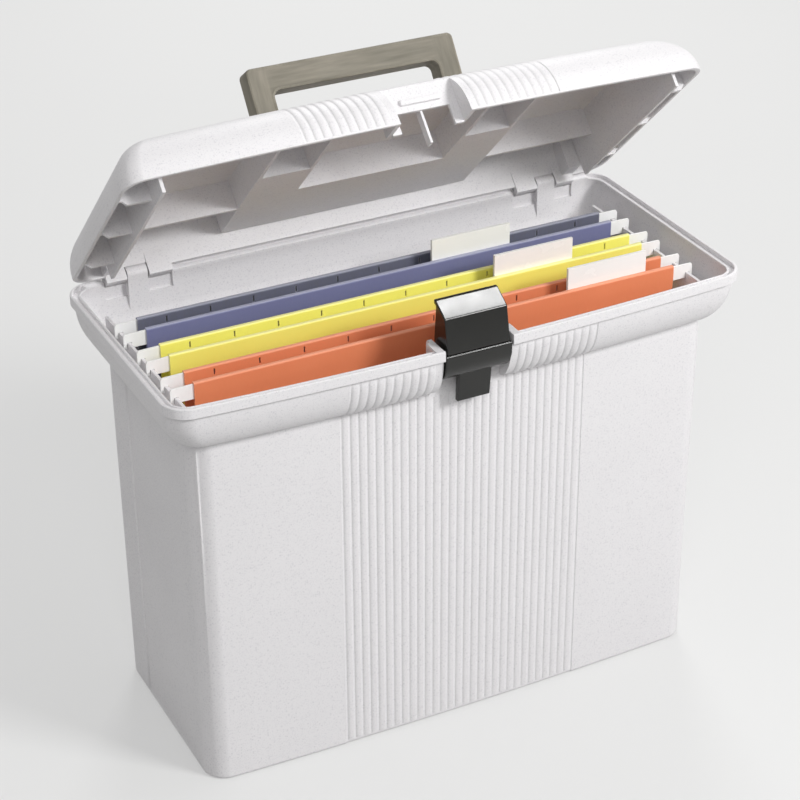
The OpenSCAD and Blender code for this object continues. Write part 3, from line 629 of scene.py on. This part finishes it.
# handle, latch and folders
handle = {"halfW": 64.5, "leg": 13.5, "grip": 14.7, "t": 13.0, "reach": 57.0, "pivotY": 8.0, "pivotZ": 19.5,
          "raised": 98.9, "trunnionR": 3.0, "trunnionL": 7.5, "cornerR": 3.4, "innerR": 4.0, "rimW": 1.9,
          "rimStep": 0.5, "edge": 1.1}


def uShape(inset):
    # outline of the U, drawn inwards by the inset
    h = handle
    outer, inner = [], []
    r = h["cornerR"] - inset
    x, top, low = h["halfW"] - inset, h["reach"] - inset, -h["t"] / 2 + inset * 1.5
    for cx, a0 in ((x - r, 0), (-x + r, 90)):
        outer += [onCircle(cx, top - r, r, a0 + a) for a in range(0, 91, 15)]
    ri = h["innerR"] + inset
    xi, topI = h["halfW"] - h["leg"] + inset, h["reach"] - h["grip"] + inset
    for cx, a0 in ((-xi + ri, 90), (xi - ri, 0)):
        inner += [onCircle(cx, topI - ri, ri, a0 + a) for a in range(90, -1, -15)]
    return [(x, low)] + outer + [(-x, low), (-xi, low)] + inner + [(xi, low)]


def buildHandle():
    h = handle
    t, edge = h["t"] / 2, h["edge"]
    layers = [(edge, -t), (0, -t + edge), (0, t - edge), (edge * 0.35, t - edge * 0.3), (edge, t),
              (h["rimW"] - 0.5, t), (h["rimW"] + 0.5, t - h["rimStep"])]
    rings = [[(x, y, z) for x, y in uShape(i)] for i, z in layers]
    grip = turnOutward(loft("handleGrip", rings))
    legX = h["halfW"] - h["leg"]
    hollow = block("pocket", (-legX - 4, h["reach"] - h["grip"] + 2.5, -t - 1),
                   (legX + 4, h["reach"] - 2.5, t - 3.3), 0.8)
    combine(grip, [hollow], "DIFFERENCE")
    eye = []
    for s, name in ((1, "Right"), (-1, "Left")):
        x0, x1 = sorted((s * (h["halfW"] - h["leg"] + 0.9), s * (h["halfW"] - 0.9)))
        eye.append(roundEdges(rod("eye" + name, x0, x1, 0, 0, t - 0.02), 0.8))
        x0, x1 = sorted((s * (h["halfW"] - 2), s * (h["halfW"] + h["trunnionL"])))
        eye.append(roundEdges(rod("trunnion" + name, x0, x1, 0, 0, h["trunnionR"]), 0.5))
    combine(grip, eye, "UNION")
    # the place before the turn, which the streaks in the plastic follow
    flat = grip.data.attributes.new("flatPlace", "FLOAT_VECTOR", "POINT")
    flat.data.foreach_set("vector", [c for v in grip.data.vertices for c in v.co])
    turn = Matrix.Translation((0, h["pivotY"] * mm, (lid["z"] + h["pivotZ"]) * mm))
    grip.data.transform(openMatrix() @ turn @ Matrix.Rotation(math.radians(h["raised"]), 4, "X"))
    return grip


latch = {"halfW": 19.0, "tongueHalf": 10.0, "frontY": rimFrontY + 1.0, "backY": lid["notchY"] - 0.8}


def buildLatch():
    f, top, hook, w = latch["frontY"], tub["height"], latch["backY"], latch["halfW"]
    high = top + 23.2
    blockShape = [(f, top - 3.6), (f + 3.8, top + 15.6), (f + 4.6, top + 16.8), (hook - 2.4, high - 0.5),
                  (hook - 1.6, high), (hook, high), (hook, high - 2.6), (hook - 2.3, high - 3.2),
                  (hook - 0.2, top - 2), (rimFrontY + 14.2, top - 3.6)]
    inner = bodyFrontY - 1.5
    bodyShape = [(f - 0.6, top - 4.8), (f - 0.1, top - 4.0), (inner - 2, top - 3.4), (inner, top - 7),
                 (inner, top - 17), (inner - 3, top - 20), (f + 5, top - 20), (f + 1.4, top - 16.5),
                 (f - 0.4, top - 11)]
    g = f + 3.4
    tongueShape = [(g, top - 16), (g + 2.6, top - 36.7), (g + 5.4, top - 36.7), (g + 4.8, top - 16)]
    parts = [roundEdges(prism("latch" + name, shape, -x, x), soft, 3) for name, shape, x, soft in (
        ("Block", blockShape, w, 0.7), ("Body", bodyShape, tub["bayHalf"] - 0.7, 0.5),
        ("Tongue", tongueShape, latch["tongueHalf"], 0.6))]
    return merge("latchRocker", parts)


folder = {"pitch": 34.3, "midY": -4.4, "spread": 13.6, "sheetHalf": 148.55, "barT": 1.2, "barH": 9.0,
          "barLow": 239.6, "barEnd": 148.6, "coreHalf": 145.0, "sheetT": 0.8, "sleeveT": 3.0,
          "sleeveTop": 249.5, "sleeveLow": 238.7, "foldZ": 8.5, "foldHalf": 2.4,
          "slits": 11, "slitPitch": 26.3, "slitZ": 245.5, "slitH": 3.8,
          "slitW": 0.95, "slitDeep": 2.1, "tabHalf": 25.75, "tabRise": 12.5, "tabX": (54.8, 77.1, 105.4),
          "bow": (0.7, -0.5, 0.6)}


def slitTree():
    tree, given, points = rowTree("slitRow", ("Slit Size", "Vector"))
    cube = addNode(tree, "GeometryNodeMeshCube", [("Size", given["Slit Size"])])
    cut = addNode(tree, "GeometryNodeMeshBoolean", [
        (0, given["Geometry"]), (1, rowCopies(tree, points, cube.outputs[0]))], operation="DIFFERENCE")
    real = addNode(tree, "GeometryNodeRealizeInstances", [(0, cut.outputs[0])])
    return endTree(tree, given, real.outputs[0])


def sheetSection(mid, bow):
    # outline of the folded sheet in Y and Z: the outer side from the front sleeve round the fold to the
    # rear one, then back inside
    f = folder
    half, s, t = f["spread"] / 2, f["sleeveT"] / 2, f["sheetT"] / 2
    top, low, foldY, foldZ = f["sleeveTop"], f["sleeveLow"], f["foldHalf"], f["foldZ"]
    outer = [(-half + s, low + 1.2), (-half + s, top - 0.9), (-half + s - 0.5, top - 0.2), (-half, top),
             (-half - s + 0.5, top - 0.2), (-half - s, top - 0.9), (-half - s, low + 4), (-half - s + 0.15, low + 1),
             (-half - t - 0.3, low - 7)]
    steps = 12
    panel = []
    for k in range(1, steps):
        q = k / steps
        panel.append((mix(-half, -foldY, q) - bow * math.sin(math.pi * q), mix(low - 8, foldZ + 2.5, q)))
    fold = [(-foldY - t + 0.1, foldZ + 1.6), (-foldY + 0.6, foldZ + 0.3), (-0.8, foldZ)]
    foldIn = [(-foldY + t + 0.3, foldZ + 2.0), (-foldY + 1.2, foldZ + 1.1), (-0.6, foldZ + 0.8)]
    front = outer + [(y - t, z) for y, z in panel] + fold
    back = foldIn[::-1] + [(y + t, z) for y, z in panel][::-1] + [(-half + t, low - 1), (-half + t, low + 0.2)]
    path = front + [(-y, z) for y, z in front][::-1] + [(-y, z) for y, z in back][::-1] + back
    return [(mid + y, z) for y, z in path]


def buildSheet(name, mid, bow, tree, material):
    f = folder
    sheet = prism(name, sheetSection(mid, bow), -f["sheetHalf"], f["sheetHalf"])
    start = [-(f["slits"] - 1) / 2 * f["slitPitch"] * mm, (mid + f["spread"] / 2 - f["sleeveT"] / 2) * mm,
             f["slitZ"] * mm]
    size = [f["slitW"] * mm, f["slitDeep"] * mm, f["slitH"] * mm]
    return runTree(sheet, tree, {"Count": f["slits"], "Pitch": f["slitPitch"] * mm, "Start": start,
                                 "Slit Size": size, "Material": material})


def buildBar(name, y):
    # a flat bar with a hooked plate at each end
    f = folder
    low, high, t = f["barLow"], f["barLow"] + f["barH"], f["barT"] / 2
    rail, end, slotTop = tub["railX"], f["barEnd"], tub["railTop"] + 0.1
    hook = [(end, low), (rail - 1.3, low), (rail - 1.3, slotTop), (rail + 1.3, slotTop), (rail + 1.3, low),
            (rail + 3.3, low), (rail + 3.3, high - 1.8), (rail + 2.6, high - 0.4), (end - 6, high), (end - 6, low)]
    parts = [roundEdges(plate(name + tag, hook, y - t, y + t, s), 0.2) for s, tag in ((1, "Right"), (-1, "Left"))]
    hooks = merge(name, parts)
    half = f["coreHalf"]
    return hooks, block(name + "Core", (-half, y - t + 0.1, low), (half, y + t - 0.1, high - 0.3), 0.15)


def buildTab(name, x, mid):
    f = folder
    y0 = mid - f["spread"] / 2 + f["sleeveT"] / 2 + 0.02
    low, high, half = f["sleeveTop"] - 5, f["sleeveTop"] + f["tabRise"], f["tabHalf"]
    cover = block(name, (x - half, y0, low), (x + half, y0 + 1.8, high))
    slot = block("slot", (x - half - 1, y0 + 0.5, low + 1), (x + half + 1, y0 + 1.3, high - 1))
    combine(cover, [slot], "DIFFERENCE")
    roundEdges(cover, 0.15)
    label = block(name.replace("Tab", "Paper"), (x - half + 1, y0 + 0.7, low + 1.3),
                  (x + half - 1, y0 + 1.1, high - 1.3))
    return cover, label


# materials
def groupTree(name, values, outputs):
    # a shader group with a vector and some values in, and values out
    tree = bpy.data.node_groups.new(name, "ShaderNodeTree")
    face = tree.interface
    face.new_socket("Vector", in_out="INPUT", socket_type="NodeSocketVector")
    for label, value in values.items():
        face.new_socket(label, in_out="INPUT", socket_type="NodeSocketFloat").default_value = value
    for label in outputs:
        face.new_socket(label, in_out="OUTPUT", socket_type="NodeSocketFloat")
    return tree, tree.nodes.new("NodeGroupInput").outputs, tree.nodes.new("NodeGroupOutput").inputs


def noise(tree, vector, scale, detail, distortion=0.0):
    return addNode(tree, "ShaderNodeTexNoise", [("Vector", vector), ("Scale", scale), ("Detail", detail),
                                                ("Distortion", distortion)]).outputs[0]


def stretched(tree, vector, scale):
    return addNode(tree, "ShaderNodeMapping", [("Vector", vector), ("Scale", scale)]).outputs[0]


def ramp(tree, value, low, high):
    # 0 to 1 as the value goes from low to high
    return addNode(tree, "ShaderNodeMapRange", [("Value", value), ("From Min", low), ("From Max", high)]).outputs[0]


def fleckGroup():
    # small flecks, each a cell of its own, in a pale plastic
    tree, given, result = groupTree("fleckPattern", {"Scale": 900.0, "Share": 0.2}, ["Mask"])
    cells = addNode(tree, "ShaderNodeTexVoronoi", [("Vector", given["Vector"]), ("Scale", given["Scale"])])
    pick = addNode(tree, "ShaderNodeSeparateColor", [("Color", cells.outputs["Color"])])
    chosen = calc(tree, "LESS_THAN", pick.outputs[0], given["Share"])
    body = ramp(tree, cells.outputs["Distance"], 0.55, 0.25)
    tree.links.new(calc(tree, "MULTIPLY", chosen, body), result["Mask"])
    return tree


def grainGroup():
    tree, given, result = groupTree("mouldGrain", {"Fine": 2200.0, "Broad": 40.0}, ["Height", "Cloud"])
    tree.links.new(noise(tree, given["Vector"], given["Fine"], 3.0), result["Height"])
    tree.links.new(noise(tree, given["Vector"], given["Broad"], 4.0), result["Cloud"])
    return tree


def wearGroup():
    # 1 along convex edges, broken up by noise
    tree, given, result = groupTree("edgeWear", {"Width": 0.0007, "Breakup": 120.0}, ["Mask"])
    bevel = addNode(tree, "ShaderNodeBevel", [("Radius", given["Width"])], samples=4)
    solid = addNode(tree, "ShaderNodeNewGeometry")
    dot = addNode(tree, "ShaderNodeVectorMath", [(0, bevel.outputs[0]), (1, solid.outputs["Normal"])],
                  operation="DOT_PRODUCT")
    edge = ramp(tree, dot.outputs["Value"], 0.99, 0.85)
    part = ramp(tree, noise(tree, given["Vector"], given["Breakup"], 3.0), 0.35, 0.65)
    tree.links.new(calc(tree, "MULTIPLY", edge, part), result["Mask"])
    return tree


def fibreGroup():
    # short fibres of card and paper
    tree, given, result = groupTree("paperFibre", {"Scale": 700.0}, ["Height", "Tone"])
    fine = noise(tree, stretched(tree, given["Vector"], (1.0, 1.0, 0.35)), given["Scale"], 5.0, 1.2)
    tree.links.new(fine, result["Height"])
    tree.links.new(noise(tree, given["Vector"], 25.0, 3.0), result["Tone"])
    return tree


groups = {"fleck": fleckGroup(), "grain": grainGroup(), "wear": wearGroup(), "fibre": fibreGroup()}


def placeGroup(tree, key, vector, **values):
    node = tree.nodes.new("ShaderNodeGroup")
    node.node_tree = groups[key]
    tree.links.new(vector, node.inputs["Vector"])
    for label, value in values.items():
        node.inputs[label].default_value = value
    return node.outputs


def startMaterial(name):
    material = bpy.data.materials.new(name)
    material.use_nodes = True
    tree = material.node_tree
    tree.nodes.clear()
    surface = tree.nodes.new("ShaderNodeBsdfPrincipled")
    result = tree.nodes.new("ShaderNodeOutputMaterial")
    tree.links.new(surface.outputs[0], result.inputs["Surface"])
    coords = tree.nodes.new("ShaderNodeTexCoord").outputs["Object"]
    return material, tree, surface, coords


def blendColor(tree, share, first, second):
    node = tree.nodes.new("ShaderNodeMix")
    node.data_type = "RGBA"
    for socket, source in ((node.inputs["Factor"], share), (node.inputs[6], first), (node.inputs[7], second)):
        if isinstance(source, bpy.types.NodeSocket):
            tree.links.new(source, socket)
        elif isinstance(source, (tuple, list)):
            socket.default_value = (*source, 1.0)
        else:
            socket.default_value = source
    return node.outputs[2]


def scaled(tree, value, low, high):
    node = addNode(tree, "ShaderNodeMapRange", [("Value", value), ("To Min", low), ("To Max", high)])
    return node.outputs[0]


def layer(tree, mask, strength, under, over):
    return blendColor(tree, scaled(tree, mask, 0.0, strength), under, over)


def dress(tree, surface, color, rough, height, strength, distance):
    bump = addNode(tree, "ShaderNodeBump", [("Height", height), ("Strength", strength), ("Distance", distance)])
    for key, source in (("Base Color", color), ("Roughness", rough), ("Normal", bump.outputs[0])):
        tree.links.new(source, surface.inputs[key])


def speckledPlastic():
    look = {"base": (0.80, 0.785, 0.795), "shade": (0.755, 0.74, 0.75), "fleck": (0.62, 0.605, 0.635),
            "dark": (0.48, 0.47, 0.50), "worn": (0.86, 0.85, 0.86)}
    material, tree, surface, coords = startMaterial("speckledPlastic")
    grain = placeGroup(tree, "grain", coords, Fine=2600.0, Broad=22.0)
    base = layer(tree, grain["Cloud"], 0.9, look["base"], look["shade"])
    small = placeGroup(tree, "fleck", coords, Scale=1500.0, Share=0.42)
    base = layer(tree, small["Mask"], 0.5, base, look["fleck"])
    large = placeGroup(tree, "fleck", coords, Scale=850.0, Share=0.15)
    base = layer(tree, large["Mask"], 0.3, base, look["dark"])
    wear = placeGroup(tree, "wear", coords, Width=0.0006, Breakup=140.0)
    base = layer(tree, wear["Mask"], 0.6, base, look["worn"])
    dress(tree, surface, base, scaled(tree, grain["Cloud"], 0.42, 0.60), grain["Height"], 0.25, 0.00015)
    return material


def handlePlastic():
    look = {"base": (0.240, 0.215, 0.165), "shade": (0.135, 0.122, 0.088), "worn": (0.48, 0.45, 0.38)}
    material, tree, surface, coords = startMaterial("handlePlastic")
    flat = addNode(tree, "ShaderNodeAttribute", attribute_name="flatPlace").outputs["Vector"]
    parts = addNode(tree, "ShaderNodeSeparateXYZ", [(0, flat)])
    # the streaks run along the grip and turn down the legs
    legs = ramp(tree, calc(tree, "ABSOLUTE", parts.outputs["X"]), 0.049, 0.055)
    along, down = (noise(tree, stretched(tree, flat, scale), 260.0, 4.0)
                   for scale in ((0.10, 1.0, 1.0), (1.0, 0.12, 1.0)))
    flow = addNode(tree, "ShaderNodeMix", [("Factor", legs), ("A", along), ("B", down)])
    grain = placeGroup(tree, "grain", coords, Fine=1900.0, Broad=60.0)
    base = layer(tree, ramp(tree, flow.outputs[0], 0.3, 0.7), 1.0, look["base"], look["shade"])
    wear = placeGroup(tree, "wear", coords, Width=0.0015, Breakup=60.0)
    base = layer(tree, wear["Mask"], 0.9, base, look["worn"])
    dress(tree, surface, base, scaled(tree, grain["Cloud"], 0.48, 0.66), grain["Height"], 0.2, 0.0001)
    return material


def latchPlastic():
    look = {"base": (0.006, 0.006, 0.005), "shade": (0.012, 0.012, 0.010), "worn": (0.10, 0.10, 0.095)}
    material, tree, surface, coords = startMaterial("latchPlastic")
    grain = placeGroup(tree, "grain", coords, Fine=1500.0, Broad=90.0)
    base = layer(tree, grain["Cloud"], 1.0, look["base"], look["shade"])
    wear = placeGroup(tree, "wear", coords, Width=0.0006, Breakup=180.0)
    base = layer(tree, wear["Mask"], 0.7, base, look["worn"])
    dress(tree, surface, base, scaled(tree, grain["Cloud"], 0.15, 0.25), grain["Height"], 0.12, 0.00008)
    return material


# the worn colour serves the edge wear and also the pale line along the sleeves' tops, which is partly a painted
# highlight
def cardStock(name, base, shade, worn, foldMid=None, inside=None):
    material, tree, surface, coords = startMaterial(name)
    fibre = placeGroup(tree, "fibre", coords, Scale=600.0)
    color = layer(tree, fibre["Tone"], 1.0, base, shade)
    place = addNode(tree, "ShaderNodeSeparateXYZ", [(0, coords)]).outputs
    if inside:
        # the rear panel's inner face is made darker and greyer than the rest of the card
        color = blendColor(tree, calc(tree, "GREATER_THAN", place["Y"], foldMid * mm), color, inside)
    color = layer(tree, fibre["Height"], 0.35, color, shade)
    wear = placeGroup(tree, "wear", coords, Width=0.0008, Breakup=90.0)
    color = layer(tree, wear["Mask"], 0.6, color, worn)
    if foldMid is not None:
        # a pale line along the sleeves' tops, partly wear and partly a painted highlight where the top fold catches
        # the light
        line = addNode(tree, "ShaderNodeMapRange", [("Value", place["Z"]), ("From Min", 0.2486),
                                                    ("From Max", 0.2493), ("To Max", 0.6)])
        color = blendColor(tree, line.outputs[0], color, worn)
    dress(tree, surface, color, scaled(tree, fibre["Height"], 0.55, 0.8), fibre["Height"], 0.3, 0.0001)
    return material


def plainPlastic(name, base, shade, rough):
    material, tree, surface, coords = startMaterial(name)
    grain = placeGroup(tree, "grain", coords, Fine=1400.0, Broad=70.0)
    color = layer(tree, grain["Cloud"], 1.0, base, shade)
    dress(tree, surface, color, scaled(tree, grain["Cloud"], rough, rough + 0.15), grain["Height"], 0.1, 0.00008)
    return material


def steelPin():
    material, tree, surface, coords = startMaterial("steelPin")
    lines = noise(tree, stretched(tree, coords, (0.06, 1.0, 1.0)), 2400.0, 3.0)
    color = blendColor(tree, lines, (0.46, 0.46, 0.47), (0.62, 0.62, 0.63))
    surface.inputs["Metallic"].default_value = 1.0
    dress(tree, surface, color, scaled(tree, lines, 0.25, 0.45), lines, 0.15, 0.00005)
    return material


plastic, steel = speckledPlastic(), steelPin()
handleGrey, black = handlePlastic(), latchPlastic()
# each card's third colour is its edge wear and its sleeve-top line, and that line is partly a painted highlight
cards = [cardStock("blueCard", (0.20, 0.212, 0.40), (0.17, 0.178, 0.345), (0.52, 0.53, 0.62), 29.9,
                   (0.13, 0.135, 0.16)),
         cardStock("yellowCard", (0.96, 0.92, 0.20), (0.94, 0.87, 0.155), (0.97, 0.95, 0.52), -4.4),
         cardStock("redCard", (0.84, 0.268, 0.125), (0.77, 0.23, 0.098), (0.93, 0.43, 0.28), -38.7)]
hangerWhite = plainPlastic("hangerWhite", (0.95, 0.95, 0.94), (0.92, 0.92, 0.91), 0.35)
hangerSteel = plainPlastic("hangerSteel", (0.20, 0.195, 0.18), (0.15, 0.148, 0.14), 0.4)
tabClear = plainPlastic("tabClear", (0.94, 0.935, 0.91), (0.92, 0.915, 0.89), 0.18)
paper = cardStock("labelPaper", (0.88, 0.87, 0.85), (0.83, 0.82, 0.80), (0.92, 0.91, 0.90))
print("materials made")

# pieces
finishPiece(buildTub(), plastic, "tub", ["tub"])
finishPiece(buildLid(), plastic, "lid", ["lid"])
ribTree = repeatTree()
tubRibs = buildRibs("tubRibs", tubRibPath(True), tubRibPath(False), ribTree, plastic)
finishPiece(tubRibs, plastic, "tub", angle=60)
lidRibs = buildRibs("lidRibs", lidRibPath(False), lidRibPath(True), ribTree, plastic)
lidRibs.data.transform(openMatrix())
finishPiece(lidRibs, plastic, "lid", angle=60)
finishPiece(buildHandle(), handleGrey, "handle", ["handle"])
finishPiece(buildLatch(), black, "latch", ["latch"])
for name in ("hinge_pin_left", "hinge_pin_right", "latch_pin"):
    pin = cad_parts[name]
    pin.data.materials.clear()
    pin.data.materials.append(steel)

slits = slitTree()
for i, name in enumerate(("back", "middle", "front")):
    mid = folder["midY"] + folder["pitch"] * (1 - i)
    body = name + "_folder"
    sheet = buildSheet(name + "Sheet", mid, folder["bow"][i], slits, cards[i])
    finishPiece(sheet, cards[i], body, [body + "_sheet"], angle=25)
    for side, s in (("front", -1), ("rear", 1)):
        hooks, core = buildBar(name + side.capitalize() + "Bar", mid + s * folder["spread"] / 2)
        finishPiece(hooks, hangerWhite, body, [body + "_" + side + "_bar"])
        finishPiece(core, hangerSteel, body)
    cover, label = buildTab(name + "Tab", folder["tabX"][i], mid)
    finishPiece(cover, tabClear, body, [body + "_tab"])
    finishPiece(label, paper, body, [body + "_label"])
print("folders made")


# floor, light and camera


def floorPaper():
    # a middle grey, which Light Path lifts to pale for the camera, in reflections and through clear pieces
    look = {"color": (0.42, 0.42, 0.415), "lift": 0.34, "rough": 0.9}
    material, tree, surface, coords = startMaterial("floorPaper")
    color = blendColor(tree, noise(tree, coords, 6.0, 2.0), look["color"], [c * 0.985 for c in look["color"]])
    tree.links.new(color, surface.inputs["Base Color"])
    surface.inputs["Roughness"].default_value = look["rough"]
    rays = tree.nodes.new("ShaderNodeLightPath").outputs
    seen = calc(tree, "MAXIMUM", rays["Is Camera Ray"], rays["Is Glossy Ray"])
    seen = calc(tree, "MAXIMUM", seen, rays["Is Transmission Ray"])
    lift = blendColor(tree, seen, (0.0, 0.0, 0.0), [look["lift"]] * 3)
    tree.links.new(lift, surface.inputs["Emission Color"])
    surface.inputs["Emission Strength"].default_value = 1.0
    return material


floor = block("floor", (-6000, -6000, -20), (6000, 6000, 0))
floor.data.materials.append(floorPaper())

scene = bpy.context.scene
world = bpy.data.worlds.new("studio")
scene.world = world
world.use_nodes = True
sky = world.node_tree
sky.nodes.clear()
studio = {"soft": 0.52, "seen": 0.93}
rays = sky.nodes.new("ShaderNodeLightPath").outputs
soft = addNode(sky, "ShaderNodeBackground", [("Color", (1.0, 1.0, 1.0, 1.0)), ("Strength", studio["soft"])])
seen = addNode(sky, "ShaderNodeBackground", [("Color", (*[studio["seen"]] * 3, 1.0))])
eye = calc(sky, "MAXIMUM", rays["Is Camera Ray"], rays["Is Transmission Ray"])
pick = addNode(sky, "ShaderNodeMixShader", [(0, eye), (1, soft.outputs[0]), (2, seen.outputs[0])])
sky.links.new(pick.outputs[0], sky.nodes.new("ShaderNodeOutputWorld").inputs[0])


def softLight(name, place, target, size, power):
    data = bpy.data.lights.new(name, "AREA")
    data.shape, data.size, data.energy = "SQUARE", size, power
    lamp = bpy.data.objects.new(name, data)
    scene.collection.objects.link(lamp)
    lamp.location = place
    lamp.rotation_euler = (Vector(target) - Vector(place)).to_track_quat("-Z", "Y").to_euler()
    return lamp


softLight("key", (0.92, -1.31, 1.28), (0.0, 0.0, 0.16), 0.5, 23.8)
softLight("left", (-0.6, -1.25, 1.42), (0.0, 0.0, 0.22), 0.5, 4.2)
softLight("back", (0.75, 1.5, 1.15), (0.0, 0.0, 0.2), 0.6, 10.0)
# a small card that only shows as a shine on the latch's bevel
card = softLight("card", (0.64, -0.18, 1.62), (0.0, -0.08, 0.27), 0.27, 6.6)
card.visible_diffuse = False

camera = {"place": (-505.1, -1000.0, 813.9), "target": (-4.8, 0.0, 177.4), "roll": -0.00945, "focal": 2217.0,
          "centreY": 400.6, "image": 800.0, "sensor": 36.0}
lens = bpy.data.cameras.new("camera")
lens.sensor_width = camera["sensor"]
lens.lens = camera["focal"] / camera["image"] * camera["sensor"]
lens.shift_y = (camera["centreY"] - camera["image"] / 2) / camera["image"]
lens.clip_start, lens.clip_end = 0.05, 30.0
eyeObj = bpy.data.objects.new("camera", lens)
scene.collection.objects.link(eyeObj)
place, target = (Vector([c * mm for c in camera[k]]) for k in ("place", "target"))
forward = (target - place).normalized()
right = forward.cross(Vector((0, 0, 1))).normalized()
up = right.cross(forward)
c, s = math.cos(camera["roll"]), math.sin(camera["roll"])
right, up = c * right + s * up, -s * right + c * up
turn = Matrix((right, up, -forward)).transposed().to_4x4()
eyeObj.matrix_world = Matrix.Translation(place) @ turn
scene.camera = eyeObj
scene.view_settings.view_transform = "Standard"
print("stage ready")
